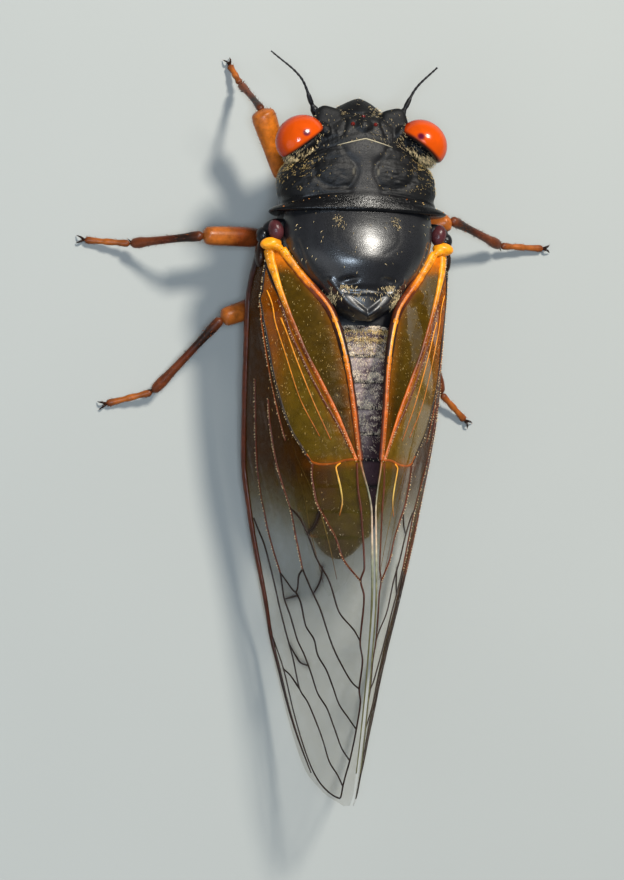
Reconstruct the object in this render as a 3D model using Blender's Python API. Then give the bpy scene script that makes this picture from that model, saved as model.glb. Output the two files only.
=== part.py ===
"""Periodical cicada at life size, a still model that stands on its six feet with its wings closed.

Sizes are millimetres in the animal's own frame: the head looks along -Y from Y = 0, the left side
is at +X and the feet stand on Z = 0. The finished model is moved so that its box is centred.
"""

import math

import bmesh
import bpy
import numpy as np
from mathutils import Matrix, Vector
from mathutils.geometry import delaunay_2d_cdt

# Whole model
MM = 0.001
GAP = 0.3
SMALLEST_EDGE = 0.01
BODY_SIDES = 40
TUBE_ROUNDNESS = 2
LEFT, RIGHT = 1, -1
SIDE_NAMES = {LEFT: "left", RIGHT: "right"}

# Body sections: place along Y, half width, lowest, widest and highest Z
HEAD_SECTIONS = (
    (0.75, 1.9, 5.0, 6.5, 7.55),
    (1.05, 2.9, 4.4, 6.5, 8.0),
    (1.6, 3.45, 3.6, 6.4, 8.3),
    (2.3, 3.7, 3.1, 6.3, 8.45),
    (2.95, 3.75, 2.9, 6.2, 8.45),
)
PRONOTUM_SECTIONS = (
    (2.3, 3.9, 2.9, 6.5, 8.4),
    (2.9, 4.4, 2.6, 6.6, 8.62),
    (3.6, 4.62, 2.5, 6.7, 8.7),
    (4.6, 4.62, 2.45, 6.8, 8.77),
    (5.4, 4.55, 2.45, 6.9, 8.86),
    (5.9, 4.75, 2.5, 7.1, 8.98),
    (6.35, 5.2, 2.6, 7.2, 9.05),
)
MESONOTUM_SECTIONS = (
    (6.8, 4.35, 5.0, 6.9, 9.05),
    (7.6, 4.4, 4.8, 6.9, 9.5),
    (8.6, 4.25, 4.8, 6.9, 9.75),
    (9.4, 3.9, 4.8, 6.8, 9.78),
    (10.2, 3.4, 4.8, 6.7, 9.65),
    (11.3, 2.55, 4.8, 6.6, 9.4),
    (12.2, 1.6, 4.8, 6.5, 9.3),
    (12.7, 0.7, 5.0, 6.4, 8.9),
)
PLEURA_SECTIONS = (
    (6.7, 4.25, 2.45, 5.2, 7.9),
    (8.0, 4.3, 2.2, 5.0, 7.4),
    (9.5, 3.85, 2.1, 4.8, 6.5),
    (11.0, 3.6, 2.1, 4.8, 6.8),
    (12.9, 3.5, 2.2, 4.8, 7.85),
)
ABDOMEN_SECTIONS = (
    (13.2, 3.5, 2.1, 4.8, 7.9),
    (15.0, 3.65, 1.9, 4.7, 7.75),
    (17.4, 3.5, 1.75, 4.5, 7.3),
    (19.9, 3.1, 1.75, 4.2, 6.7),
    (22.4, 2.7, 1.85, 3.9, 5.9),
    (24.6, 1.8, 2.1, 3.6, 4.9),
    (26.2, 0.6, 2.6, 3.4, 3.9),
)
BODY_SQUARENESS = 2.1
FRONT_BOW = 1.0

# Mounds (or, below zero, hollows) of the first back plate: X, Y, half width, half length, height
PRONOTUM_MOUNDS = (
    (0.85, 4.2, 0.35, 0.7, -0.16),
    (1.9, 4.1, 0.75, 0.5, 0.12),
    (2.9, 4.5, 0.35, 0.8, -0.14),
    (3.8, 4.6, 0.7, 0.7, 0.14),
    (2.0, 5.35, 2.6, 0.22, -0.16),
)

# Shield-shaped ridge at the back of the second back plate: its corner and tip, height and half width,
# the bar across it as Y, half length, height and half width, and the pit before it as a mound
SHIELD_CORNER = (1.75, 10.8)
SHIELD_TIP_Y = 12.4
SHIELD_RIDGE = (0.26, 0.4)
SHIELD_BAR = (11.2, 1.1, 0.18, 0.3)
SHIELD_PIT = (1.25, 10.4, 0.45, 0.35, -0.3)
BACK_FROM_Z = 7.5

# Abdomen rings
TERGITES = 8
TERGITE_STEP = 0.16
LAST_RING_FROM = 25.0

# Head forms: centre and half sizes of the rounded pieces that are fused with the capsule
CLYPEUS = ((0.0, 1.65, 5.9), (1.75, 1.8, 2.2))
LEDGE = ((1.9, 1.25, 7.45), (0.95, 0.85, 0.5))
ORBIT = ((3.35, 2.75, 7.1), (1.35, 0.55, 1.2))
LEDGE_TURN = math.radians(12)
OCELLI = ((0.0, 0.95, 7.95), (0.67, 1.45, 8.25))
OCELLUS_RADIUS = 0.26

# Eyes
EYE_CENTRE = (3.63, 2.35, 7.7)
EYE_HALF_SIZES = (1.5, 1.35, 1.25)
EYE_BACK_SHARE = 0.4
EYE_TURN = math.radians(37)

# Antennae: points and radii from the root out
ANTENNA_LEFT = ((2.2, 1.2, 6.8), (2.75, 0.3, 7.0), (3.5, -1.2, 7.3), (5.3, -2.7, 7.3))
ANTENNA_RIGHT = ((-2.2, 1.2, 6.8), (-2.75, 0.3, 7.0), (-3.4, -0.9, 7.0), (-4.7, -2.2, 7.0))
ANTENNA_RADII = (0.34, 0.3, 0.25, 0.1)

# Beak under the head
BEAK = ((0.0, 1.6, 3.9), (0.0, 2.7, 2.9), (0.0, 4.4, 1.9), (0.0, 7.4, 1.45))
BEAK_RADII = (0.6, 0.5, 0.42, 0.25)

# Legs: hip, femur root, knee, ankle and claw of each, then thickness and shape of the four lengths between
LEG_PATHS = {
    "leg_front_left": (
        (2.4, 5.0, 3.2), (3.6, 3.9, 3.2), (5.1, 0.3, 4.4), (5.5, -1.6, 0.9), (6.0, -2.8, 0.2),
    ),
    "leg_mid_left": (
        (2.4, 8.0, 3.0), (4.6, 7.6, 2.9), (8.4, 7.7, 4.0), (12.0, 8.0, 0.9), (14.6, 7.8, 0.2),
    ),
    "leg_hind_left": (
        (2.4, 10.6, 3.0), (4.4, 11.4, 2.5), (7.1, 12.4, 3.3), (10.6, 16.6, 0.9), (13.2, 17.3, 0.2),
    ),
    "leg_front_right": (
        (-2.4, 5.0, 3.2), (-3.8, 3.9, 3.1), (-4.7, 1.5, 3.9), (-5.1, 2.0, 0.9), (-5.95, 2.2, 0.2),
    ),
    "leg_mid_right": (
        (-2.4, 8.0, 3.0), (-4.4, 7.2, 2.9), (-6.5, 6.3, 4.0), (-10.5, 7.4, 0.9), (-13.4, 7.4, 0.2),
    ),
    "leg_hind_right": (
        (-2.4, 9.4, 3.0), (-3.8, 9.9, 2.4), (-5.0, 11.2, 2.9), (-6.9, 16.3, 0.9), (-8.6, 17.8, 0.2),
    ),
}
FRONT_LEG_RADII = (0.75, 0.75, 0.38, 0.3)
LEG_RADII = (0.75, 0.6, 0.4, 0.33)
LIMB_PROFILES = (
    (1.0, 1.0, 0.9),
    (0.75, 1.0, 1.0, 0.85, 0.65),
    (1.15, 0.85, 0.8, 0.85, 1.05),
    (1.0, 0.85, 0.95, 0.85, 0.95),
)
JOINT_OVERLAP = 0.3
CLAW_LENGTH = 0.8
CLAW_SPREAD = math.radians(30)
CLAW_RADII = (0.26, 0.2, 0.1)
CLAW_ARCH = 0.14
CLAW_TIP_HEIGHT = 0.17

# Forewing sections: Y, inner edge X and Z, outer edge X and Z, outward pull of the bow between them
WING_SECTIONS = (
    (8.6, 4.60, 7.3, 5.70, 5.90, 0.4),
    (10.2, 3.45, 7.9, 5.85, 4.70, 1.9),
    (12.3, 1.95, 8.7, 5.95, 4.20, 2.6),
    (15.0, 1.30, 9.4, 5.90, 3.60, 2.9),
    (18.0, 0.95, 10.0, 5.80, 3.00, 2.7),
    (20.6, 0.65, 10.3, 5.60, 2.50, 2.3),
    (23.7, 0.20, 10.9, 5.20, 1.95, 1.8),
    (28.0, 0.15, 11.1, 4.35, 1.50, 1.3),
    (32.0, 0.15, 10.3, 3.40, 1.20, 0.9),
    (36.0, 0.15, 9.0, 2.45, 1.65, 0.5),
    (38.5, 0.15, 8.0, 1.75, 2.55, 0.25),
    (39.8, 0.15, 7.4, 1.05, 4.20, 0.1),
    (40.4, 0.20, 6.7, 0.45, 6.00, 0.0),
)
MEMBRANE = 0.5
VEIN_RISE = 0.22
VEIN_HALF_WIDTH = 0.24
RIM_WIDTH = 0.5
RIM_RISE = 0.12
VEIN_SPACING = 1.4
RIM_SPACING = 1.5
WING_GRID = 1.9

# Forewing veins: routes as place along Y and share of the way from inner to outer edge
FOREWING_VEINS = {
    "claval": (
        (8.9, 0.42), (10.0, 0.35), (12.3, 0.37), (14.0, 0.30), (16.0, 0.20), (18.0, 0.115),
        (20.8, 0.04),
    ),
    "cubital": (
        (8.9, 0.55), (10.0, 0.57), (11.5, 0.70), (13.0, 0.665), (15.0, 0.60), (17.0, 0.53),
        (20.0, 0.38), (20.95, 0.32),
    ),
    "nodal_cross": ((20.8, 0.04), (20.95, 0.18), (20.95, 0.32)),
    "cubital_branch": ((20.95, 0.32), (23.0, 0.35), (24.2, 0.29), (25.8, 0.22), (27.6, 0.08)),
    "median": (
        (12.0, 0.71), (15.0, 0.65), (18.6, 0.635), (21.0, 0.605), (23.0, 0.57), (25.0, 0.538),
        (26.9, 0.515),
    ),
    "median_inner": ((23.4, 0.56), (24.9, 0.44), (26.3, 0.39), (28.2, 0.30), (30.1, 0.185), (31.0, 0.08)),
    "median_fourth": ((26.9, 0.515), (28.1, 0.45), (29.8, 0.384), (31.4, 0.30), (32.9, 0.19), (33.7, 0.07)),
    "median_arc": ((26.9, 0.515), (27.4, 0.56), (28.2, 0.605), (27.7, 0.667), (26.9, 0.725)),
    "median_third": ((28.2, 0.605), (30.1, 0.55), (31.7, 0.463), (33.2, 0.37), (34.6, 0.27), (36.0, 0.075)),
    "radial_sector": (
        (16.0, 0.80), (20.2, 0.81), (22.3, 0.825), (24.1, 0.80), (26.3, 0.75), (28.3, 0.73),
        (30.2, 0.665), (32.4, 0.58), (34.4, 0.46), (36.2, 0.31), (37.8, 0.14),
    ),
    "radial": (
        (23.9, 0.93), (25.5, 0.85), (28.0, 0.807), (31.1, 0.758), (33.75, 0.72), (35.2, 0.62),
        (37.3, 0.49), (39.3, 0.30),
    ),
    "dark_cross": ((32.4, 0.58), (32.3, 0.65), (31.3, 0.75)),
    "radial_cross": ((33.75, 0.72), (32.9, 0.82), (32.5, 0.90)),
    "ambient": (
        (20.8, 0.04), (24.0, 0.065), (27.6, 0.08), (31.0, 0.08), (33.7, 0.07), (36.0, 0.075),
        (37.8, 0.14), (39.3, 0.30), (39.9, 0.50), (39.2, 0.80), (37.4, 0.86), (34.9, 0.88),
        (32.5, 0.90), (30.8, 0.945),
    ),
}

# Hindwing, under the forewing: outline and veins in the same shares
HINDWING_DROP = MEMBRANE + GAP + 0.2
HINDWING_OUTLINE = (
    (10.6, 0.46), (12.4, 0.32), (15.5, 0.20), (19.5, 0.13), (23.5, 0.14), (26.5, 0.20), (28.3, 0.34),
    (28.6, 0.42), (27.4, 0.50), (24.0, 0.59), (19.0, 0.66), (14.5, 0.68), (11.6, 0.62),
)
HINDWING_VEINS = {
    "outer": ((12.0, 0.58), (16.0, 0.56), (20.0, 0.55), (24.0, 0.52), (27.8, 0.46)),
    "middle": ((12.5, 0.52), (14.0, 0.49), (16.0, 0.405), (18.0, 0.333), (20.3, 0.25), (23.0, 0.22)),
    "inner": ((14.9, 0.34), (16.8, 0.27), (19.5, 0.21)),
    "fork": ((20.0, 0.55), (22.5, 0.45), (25.0, 0.38), (27.6, 0.33)),
}

# Wing root knob that joins the forewing's inner edge to the thorax
WING_KNOB = ((5.1, 8.85, 6.85), (0.65, 0.8, 0.62))

# Rounded plate in front of each wing root
WING_LOBE = ((4.75, 7.3, 6.6), (0.8, 0.45, 0.55))

# Covers of the sound organs under the thorax
OPERCULUM = ((1.7, 12.9, 2.2), (1.25, 1.3, 0.42))

# Finish of each kind of piece: colour, roughness, metallic
BLACK_SHELL = ((0.018, 0.018, 0.024), 0.32, 0.0)
EYE_RED = ((0.80, 0.06, 0.008), 0.12, 0.0)
FEMUR_ORANGE = ((0.50, 0.16, 0.03), 0.38, 0.0)
WING_AMBER = ((0.45, 0.24, 0.06), 0.25, 0.0)
HINDWING_CLEAR = ((0.40, 0.34, 0.16), 0.25, 0.0)


def smooth(keys, places):
    """Values at each place, on smooth curves through rows whose first number is the place."""
    keys = np.array(keys, float)
    at, values = keys[:, 0], keys[:, 1:]
    step = np.diff(at)[:, None]
    rise = np.diff(values, axis=0) / step
    slope = np.zeros_like(values)
    onward = rise[:-1] * rise[1:] > 0
    total = np.where(onward, rise[:-1] + rise[1:], 1.0)
    slope[1:-1] = np.where(onward, 2 * rise[:-1] * rise[1:] / total, 0.0)
    slope[0], slope[-1] = rise[0], rise[-1]
    places = np.clip(np.asarray(places, float), at[0], at[-1])
    i = np.clip(np.searchsorted(at, places, side="right") - 1, 0, len(at) - 2)
    s = ((places - at[i]) / step[i, 0])[..., None]
    start = values[i] * (1 + 2 * s) * (1 - s) ** 2 + slope[i] * step[i] * s * (1 - s) ** 2
    end = values[i + 1] * s**2 * (3 - 2 * s) - slope[i + 1] * step[i] * s**2 * (1 - s)
    return start + end


def route(points, spacing):
    """Evenly spaced points on a smooth curve through the given ones."""
    points = np.array(points, float)
    chord = np.r_[0.0, np.cumsum(np.linalg.norm(np.diff(points, axis=0), axis=1))]
    fine = smooth(np.c_[chord, points], np.linspace(0, chord[-1], 40 * len(points)))
    along = np.r_[0.0, np.cumsum(np.linalg.norm(np.diff(fine, axis=0), axis=1))]
    count = max(2, int(round(along[-1] / spacing)) + 1)
    wanted = np.linspace(0, along[-1], count)
    return np.array([np.interp(wanted, along, fine[:, k]) for k in range(points.shape[1])]).T


def start_scene():
    for old in list(bpy.data.objects):
        bpy.data.objects.remove(old)
    parts = bpy.data.collections.new("periodical_cicada")
    bpy.context.scene.collection.children.link(parts)
    return parts


def finish_of(name, looks):
    colour, roughness, metallic = looks
    finish = bpy.data.materials.new(name)
    finish.use_nodes = True
    shader = finish.node_tree.nodes["Principled BSDF"]
    shader.inputs["Base Color"].default_value = (*colour, 1.0)
    shader.inputs["Roughness"].default_value = roughness
    shader.inputs["Metallic"].default_value = metallic
    return finish


def add_mesh(name, points, faces):
    """An object in the parts' collection, from points in millimetres."""
    mesh = bpy.data.meshes.new(name)
    mesh.from_pydata([tuple(float(v) * MM for v in p) for p in points], [], [tuple(f) for f in faces])
    mesh.validate()
    new = bpy.data.objects.new(name, mesh)
    PARTS.objects.link(new)
    return new


def dress(part, looks):
    part.data.materials.clear()
    part.data.materials.append(finish_of(part.name + "_finish", looks))
    part.data.shade_smooth()
    part.data.set_sharp_from_angle(angle=math.radians(50))


def weld(part):
    """Joins points that lie closer than the smallest edge, which Boolean cuts leave along their seams."""
    shape = bmesh.new()
    shape.from_mesh(part.data)
    bmesh.ops.remove_doubles(shape, verts=shape.verts, dist=SMALLEST_EDGE * MM)
    bmesh.ops.triangulate(shape, faces=shape.faces)
    bmesh.ops.dissolve_degenerate(shape, edges=shape.edges, dist=SMALLEST_EDGE * MM)
    bmesh.ops.triangulate(shape, faces=shape.faces)
    shape.to_mesh(part.data)
    shape.free()


def keep_largest(part):
    """Drops every loose piece of the mesh but the one with the most faces."""
    shape = bmesh.new()
    shape.from_mesh(part.data)
    left = set(shape.faces)
    groups = []
    while left:
        group, edge_of_search = set(), [left.pop()]
        while edge_of_search:
            face = edge_of_search.pop()
            group.add(face)
            for edge in face.edges:
                for near in edge.link_faces:
                    if near in left:
                        left.discard(near)
                        edge_of_search.append(near)
        groups.append(group)
    groups.sort(key=len)
    loose = [face for group in groups[:-1] for face in group]
    bmesh.ops.delete(shape, geom=loose, context="FACES")
    shape.to_mesh(part.data)
    shape.free()


def apply_boolean(part, helpers, operation, solver="EXACT"):
    """One Boolean of the part with all the helpers, which are then removed."""
    group = bpy.data.collections.new("helpers")
    bpy.context.scene.collection.children.link(group)
    for helper in helpers:
        for holder in helper.users_collection:
            holder.objects.unlink(helper)
        group.objects.link(helper)
    step = part.modifiers.new("join", "BOOLEAN")
    step.operation = operation
    step.operand_type = "COLLECTION"
    step.collection = group
    step.solver = solver
    bpy.context.view_layer.update()
    seen = part.evaluated_get(bpy.context.evaluated_depsgraph_get())
    result = bpy.data.meshes.new_from_object(seen)
    part.modifiers.clear()
    part.data = result
    for helper in helpers:
        bpy.data.objects.remove(helper)
    bpy.data.collections.remove(group)
    keep_largest(part)


def swollen_copy(part, by):
    """A copy of the part whose surface stands out by so many millimetres."""
    copy = bpy.data.objects.new(part.name + "_clearance", part.data.copy())
    PARTS.objects.link(copy)
    shape = bmesh.new()
    shape.from_mesh(copy.data)
    shape.normal_update()
    moves = [vertex.normal * by * MM for vertex in shape.verts]
    for vertex, move in zip(shape.verts, moves):
        vertex.co += move
    shape.to_mesh(copy.data)
    shape.free()
    return copy


def cut_clear(part, neighbours, gap=GAP):
    """Cuts the part back from its neighbours, so that a thin even gap is left."""
    for neighbour in neighbours:
        apply_boolean(part, [swollen_copy(neighbour, gap)], "DIFFERENCE", "MANIFOLD")


def rounded_piece(name, centre, half_sizes, turn=0.0, segments=20, rings=12):
    shape = bmesh.new()
    bmesh.ops.create_uvsphere(shape, u_segments=segments, v_segments=rings, radius=1.0)
    placed = Matrix.Translation(Vector(centre) * MM) @ Matrix.Rotation(turn, 4, "Z")
    scaled = placed @ Matrix.Diagonal((*[size * MM for size in half_sizes], 1.0))
    bmesh.ops.transform(shape, matrix=scaled, verts=shape.verts)
    mesh = bpy.data.meshes.new(name)
    shape.to_mesh(mesh)
    shape.free()
    new = bpy.data.objects.new(name, mesh)
    PARTS.objects.link(new)
    return new


def tube(name, points, radii, roundness=TUBE_ROUNDNESS):
    """A closed tube through points in millimetres, with a radius at each."""
    curve = bpy.data.curves.new(name, "CURVE")
    curve.dimensions = "3D"
    curve.bevel_depth = MM
    curve.bevel_resolution = roundness
    curve.use_fill_caps = True
    line = curve.splines.new("POLY")
    line.points.add(len(points) - 1)
    for knot, place, radius in zip(line.points, points, radii):
        knot.co = (*[float(v) * MM for v in place], 1.0)
        knot.radius = float(radius)
    guide = bpy.data.objects.new(name + "_guide", curve)
    PARTS.objects.link(guide)
    bpy.context.view_layer.update()
    mesh = bpy.data.meshes.new_from_object(guide.evaluated_get(bpy.context.evaluated_depsgraph_get()))
    shape = bmesh.new()
    shape.from_mesh(mesh)
    bmesh.ops.remove_doubles(shape, verts=shape.verts, dist=0.001 * MM)
    bmesh.ops.recalc_face_normals(shape, faces=shape.faces)
    shape.to_mesh(mesh)
    shape.free()
    new = bpy.data.objects.new(name, mesh)
    new.matrix_world = guide.matrix_world
    PARTS.objects.link(new)
    bpy.data.objects.remove(guide)
    return new


def body_point(sections, y, angle):
    """Surface of a body piece: angle 0 is the middle of the back and half a turn the underside."""
    half, low, waist, top = smooth(sections, y).T
    across, up = np.sin(angle), np.cos(angle)
    power = 2 / BODY_SQUARENESS
    x = half * np.sign(across) * np.abs(across) ** power
    height = np.where(up > 0, top - waist, waist - low)
    z = waist + height * np.sign(up) * np.abs(up) ** power
    return np.array([x, y, z]).T


def bowed_back(points, bow, half):
    """Moves the sides of a section back, as the plates' edges curve round the body."""
    points[:, 1] += bow * np.minimum(np.abs(points[:, 0]) / half, 1.2) ** 2
    return points


def loft(name, sections, rows, relief):
    """A closed body piece of rings along Y, with its ends filled from a middle point."""
    angles = np.arange(BODY_SIDES) * 2 * math.pi / BODY_SIDES
    points = []
    for y in rows:
        ring = body_point(sections, np.full(BODY_SIDES, y), angles)
        points.extend(relief(ring, y))
    faces = []
    for row in range(len(rows) - 1):
        for side in range(BODY_SIDES):
            following = (side + 1) % BODY_SIDES
            a, b = row * BODY_SIDES + side, row * BODY_SIDES + following
            faces.append((a, b, b + BODY_SIDES, a + BODY_SIDES))
    first_ring, last_ring = np.array(points[:BODY_SIDES]), np.array(points[-BODY_SIDES:])
    points.append(first_ring.mean(axis=0))
    points.append(last_ring.mean(axis=0))
    front, back = len(points) - 2, len(points) - 1
    start = (len(rows) - 1) * BODY_SIDES
    for side in range(BODY_SIDES):
        following = (side + 1) % BODY_SIDES
        faces.append((front, following, side))
        faces.append((back, start + side, start + following))
    piece = add_mesh(name, points, faces)
    turn_outward(piece)
    return piece


def turn_outward(part):
    shape = bmesh.new()
    shape.from_mesh(part.data)
    bmesh.ops.recalc_face_normals(shape, faces=shape.faces)
    shape.to_mesh(part.data)
    shape.free()


def steps(start, end, spacing):
    return np.linspace(start, end, max(2, int(round((end - start) / spacing)) + 1))


def head_relief(ring, y):
    return bowed_back(ring, FRONT_BOW * (y - HEAD_SECTIONS[0][0]) / 2.2, HEAD_SECTIONS[-1][1])


def head_forms():
    """Capsule, swollen clypeus, and on each side the ledge over the antenna and the orbit behind the eye."""
    rows = steps(HEAD_SECTIONS[0][0], 2.4, 0.4)
    forms = [loft("head", HEAD_SECTIONS, rows, head_relief), rounded_piece("clypeus", *CLYPEUS)]
    for side in (LEFT, RIGHT):
        for name, form, turn in (("ledge", LEDGE, -side * LEDGE_TURN), ("orbit", ORBIT, side * EYE_TURN)):
            centre, sizes = form
            forms.append(rounded_piece(name, (side * centre[0], *centre[1:]), sizes, turn, 14, 8))
    return forms


def build_head():
    """The head's forms and three ocelli as one piece."""
    head, *helpers = head_forms()
    front, side_one = OCELLI
    for centre in (front, side_one, (-side_one[0], *side_one[1:])):
        helpers.append(rounded_piece("ocellus", centre, (OCELLUS_RADIUS,) * 3, 0, 8, 6))
    apply_boolean(head, helpers, "UNION")
    return head


def build_eye(side):
    """Rounded eye whose face towards the head is flattened."""
    eye = rounded_piece("eye_" + SIDE_NAMES[side], (0.0, 0.0, 0.0), EYE_HALF_SIZES, 0.0, 20, 14)
    for vertex in eye.data.vertices:
        vertex.co.y *= EYE_BACK_SHARE if vertex.co.y > 0 else 1.0
    centre = Vector((side * EYE_CENTRE[0], *EYE_CENTRE[1:])) * MM
    eye.data.transform(Matrix.Translation(centre) @ Matrix.Rotation(side * EYE_TURN, 4, "Z"))
    return eye


def mound(x, y, form):
    """Height of a rounded mound or hollow, given as its X, Y, half width, half length and height."""
    across, along, wide, long, height = form
    return height * np.exp(-(((x - across) / wide) ** 2) - ((y - along) / long) ** 2)


def pronotum_relief(ring, y):
    """Swollen side lobes, the narrow-waisted middle field and the collar of the first back plate."""
    x = np.abs(ring[:, 0])
    on_back = np.clip(ring[:, 2] - PRONOTUM_SECTIONS[0][3], 0, 1)
    ring[:, 2] += on_back * sum(mound(x, y, form) for form in PRONOTUM_MOUNDS)
    front, back = PRONOTUM_SECTIONS[0][0], PRONOTUM_SECTIONS[-1][0]
    return bowed_back(ring, FRONT_BOW * (back - y) / (back - front), PRONOTUM_SECTIONS[2][1])


def build_pronotum():
    rows = steps(PRONOTUM_SECTIONS[0][0] + GAP / 2, PRONOTUM_SECTIONS[-1][0], 0.4)
    return loft("pronotum", PRONOTUM_SECTIONS, rows, pronotum_relief)


def mesonotum_relief(ring, y):
    """Shield-shaped ridge at the back of the big back plate, with a pit on each side before it."""
    x = np.abs(ring[:, 0])
    on_back = ring[:, 2] > BACK_FROM_Z
    edge = SHIELD_TIP_Y - x * (SHIELD_TIP_Y - SHIELD_CORNER[1]) / SHIELD_CORNER[0]
    rise, half = SHIELD_RIDGE
    ridge = rise * np.exp(-(((y - edge) / half) ** 2)) * (x < SHIELD_CORNER[0] + half / 2)
    place, reach, rise, half = SHIELD_BAR
    bar = rise * np.exp(-(((y - place) / half) ** 2)) * (x < reach)
    ring[:, 2] += on_back * (np.maximum(ridge, bar) + mound(x, y, SHIELD_PIT))
    return ring


def build_operculum(side):
    """Cover plate of a sound organ, under the root of the abdomen."""
    centre, sizes = OPERCULUM
    return rounded_piece("operculum", (side * centre[0], *centre[1:]), sizes, 0, 14, 8)


def build_thorax():
    rows = steps(MESONOTUM_SECTIONS[0][0], MESONOTUM_SECTIONS[-1][0], 0.42)
    thorax = loft("thorax", MESONOTUM_SECTIONS, rows, mesonotum_relief)
    rows = steps(PLEURA_SECTIONS[0][0], PLEURA_SECTIONS[-1][0], 0.7)
    helpers = [loft("pleura", PLEURA_SECTIONS, rows, lambda ring, y: ring)]
    for side in (LEFT, RIGHT):
        helpers.append(build_operculum(side))
        centre, sizes = WING_LOBE
        helpers.append(rounded_piece("lobe", (side * centre[0], *centre[1:]), sizes, side * 0.2, 14, 8))
    apply_boolean(thorax, helpers, "UNION")
    return thorax


def abdomen_relief(ring, y):
    """Each ring of the abdomen swells a little and steps down at its hind edge."""
    first, last = ABDOMEN_SECTIONS[0][0], LAST_RING_FROM
    share = (y - first) / (last - first) * TERGITES
    swell = TERGITE_STEP * (share % 1.0) if share < TERGITES else 0.0
    middle = np.array([0.0, y, 4.5])
    away = ring - middle
    length = np.maximum(np.linalg.norm(away, axis=1), 0.1)[:, None]
    return ring + away / length * swell


def build_abdomen():
    first, last = ABDOMEN_SECTIONS[0][0], LAST_RING_FROM
    each = (last - first) / TERGITES
    rows = []
    for ring in range(TERGITES):
        rows += [first + each * (ring + share) for share in (0.02, 0.5, 0.96)]
    rows += [27.2, 27.8, 28.3]
    return loft("abdomen", ABDOMEN_SECTIONS, rows, abdomen_relief)


def wing_point(y, share):
    """Points of the left forewing's outer face: share 0 is its inner and 1 its outer edge."""
    y, share = np.asarray(y, float), np.asarray(share, float)
    inner_x, inner_z, outer_x, outer_z, bulge = np.moveaxis(smooth(WING_SECTIONS, y), -1, 0)
    run, fall = outer_x - inner_x, outer_z - inner_z
    length = np.hypot(run, fall)
    bow_x = (inner_x + outer_x) / 2 - fall / length * bulge
    bow_z = (inner_z + outer_z) / 2 + run / length * bulge
    a, b, c = (1 - share) ** 2, 2 * share * (1 - share), share**2
    x = a * inner_x + b * bow_x + c * outer_x
    z = a * inner_z + b * bow_z + c * outer_z
    return np.stack([x, y, z], axis=-1)


def wing_width(y):
    """Length of the wing's arc from its inner to its outer edge."""
    shares = np.linspace(0, 1, 17)
    places = wing_point(np.repeat(np.atleast_1d(y)[:, None], 17, axis=1), shares)
    return np.linalg.norm(np.diff(places, axis=1), axis=2).sum(axis=1)


def wing_normal(y, share):
    nudge = 0.02
    along = wing_point(y + nudge, share) - wing_point(y - nudge, share)
    across = wing_point(y, share + nudge) - wing_point(y, share - nudge)
    normal = np.cross(across, along)
    normal /= np.linalg.norm(normal, axis=-1)[..., None]
    return np.where(normal[..., :1] + normal[..., 2:] < 0, -normal, normal)


def to_flat(pairs):
    """Place and share turned into place and real distance from the inner edge."""
    pairs = np.array(pairs, float)
    return np.c_[pairs[:, 0], pairs[:, 1] * wing_width(pairs[:, 0])]


def strip_sides(line, half):
    along = np.gradient(line, axis=0)
    along /= np.linalg.norm(along, axis=1)[:, None]
    across = np.c_[-along[:, 1], along[:, 0]] * half
    return line - across, line + across


def distance_to(line, point):
    a, b = line[:-1], line[1:]
    run = b - a
    share = np.clip(((point - a) * run).sum(axis=1) / np.maximum((run * run).sum(axis=1), 1e-9), 0, 1)
    return np.linalg.norm(a + run * share[:, None] - point, axis=1).min()


def inside(outline, point, margin):
    """Whether a flat point is inside the outline and at least the margin away from it."""
    x, y = outline[:, 0], outline[:, 1]
    x2, y2 = np.roll(x, -1), np.roll(y, -1)
    crosses = (y > point[1]) != (y2 > point[1])
    span = np.where(y2 == y, 1.0, y2 - y)
    at = x + (point[1] - y) / span * (x2 - x)
    odd = (crosses & (point[0] < at)).sum() % 2 == 1
    return odd and distance_to(np.vstack([outline, outline[:1]]), point) > margin


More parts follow.
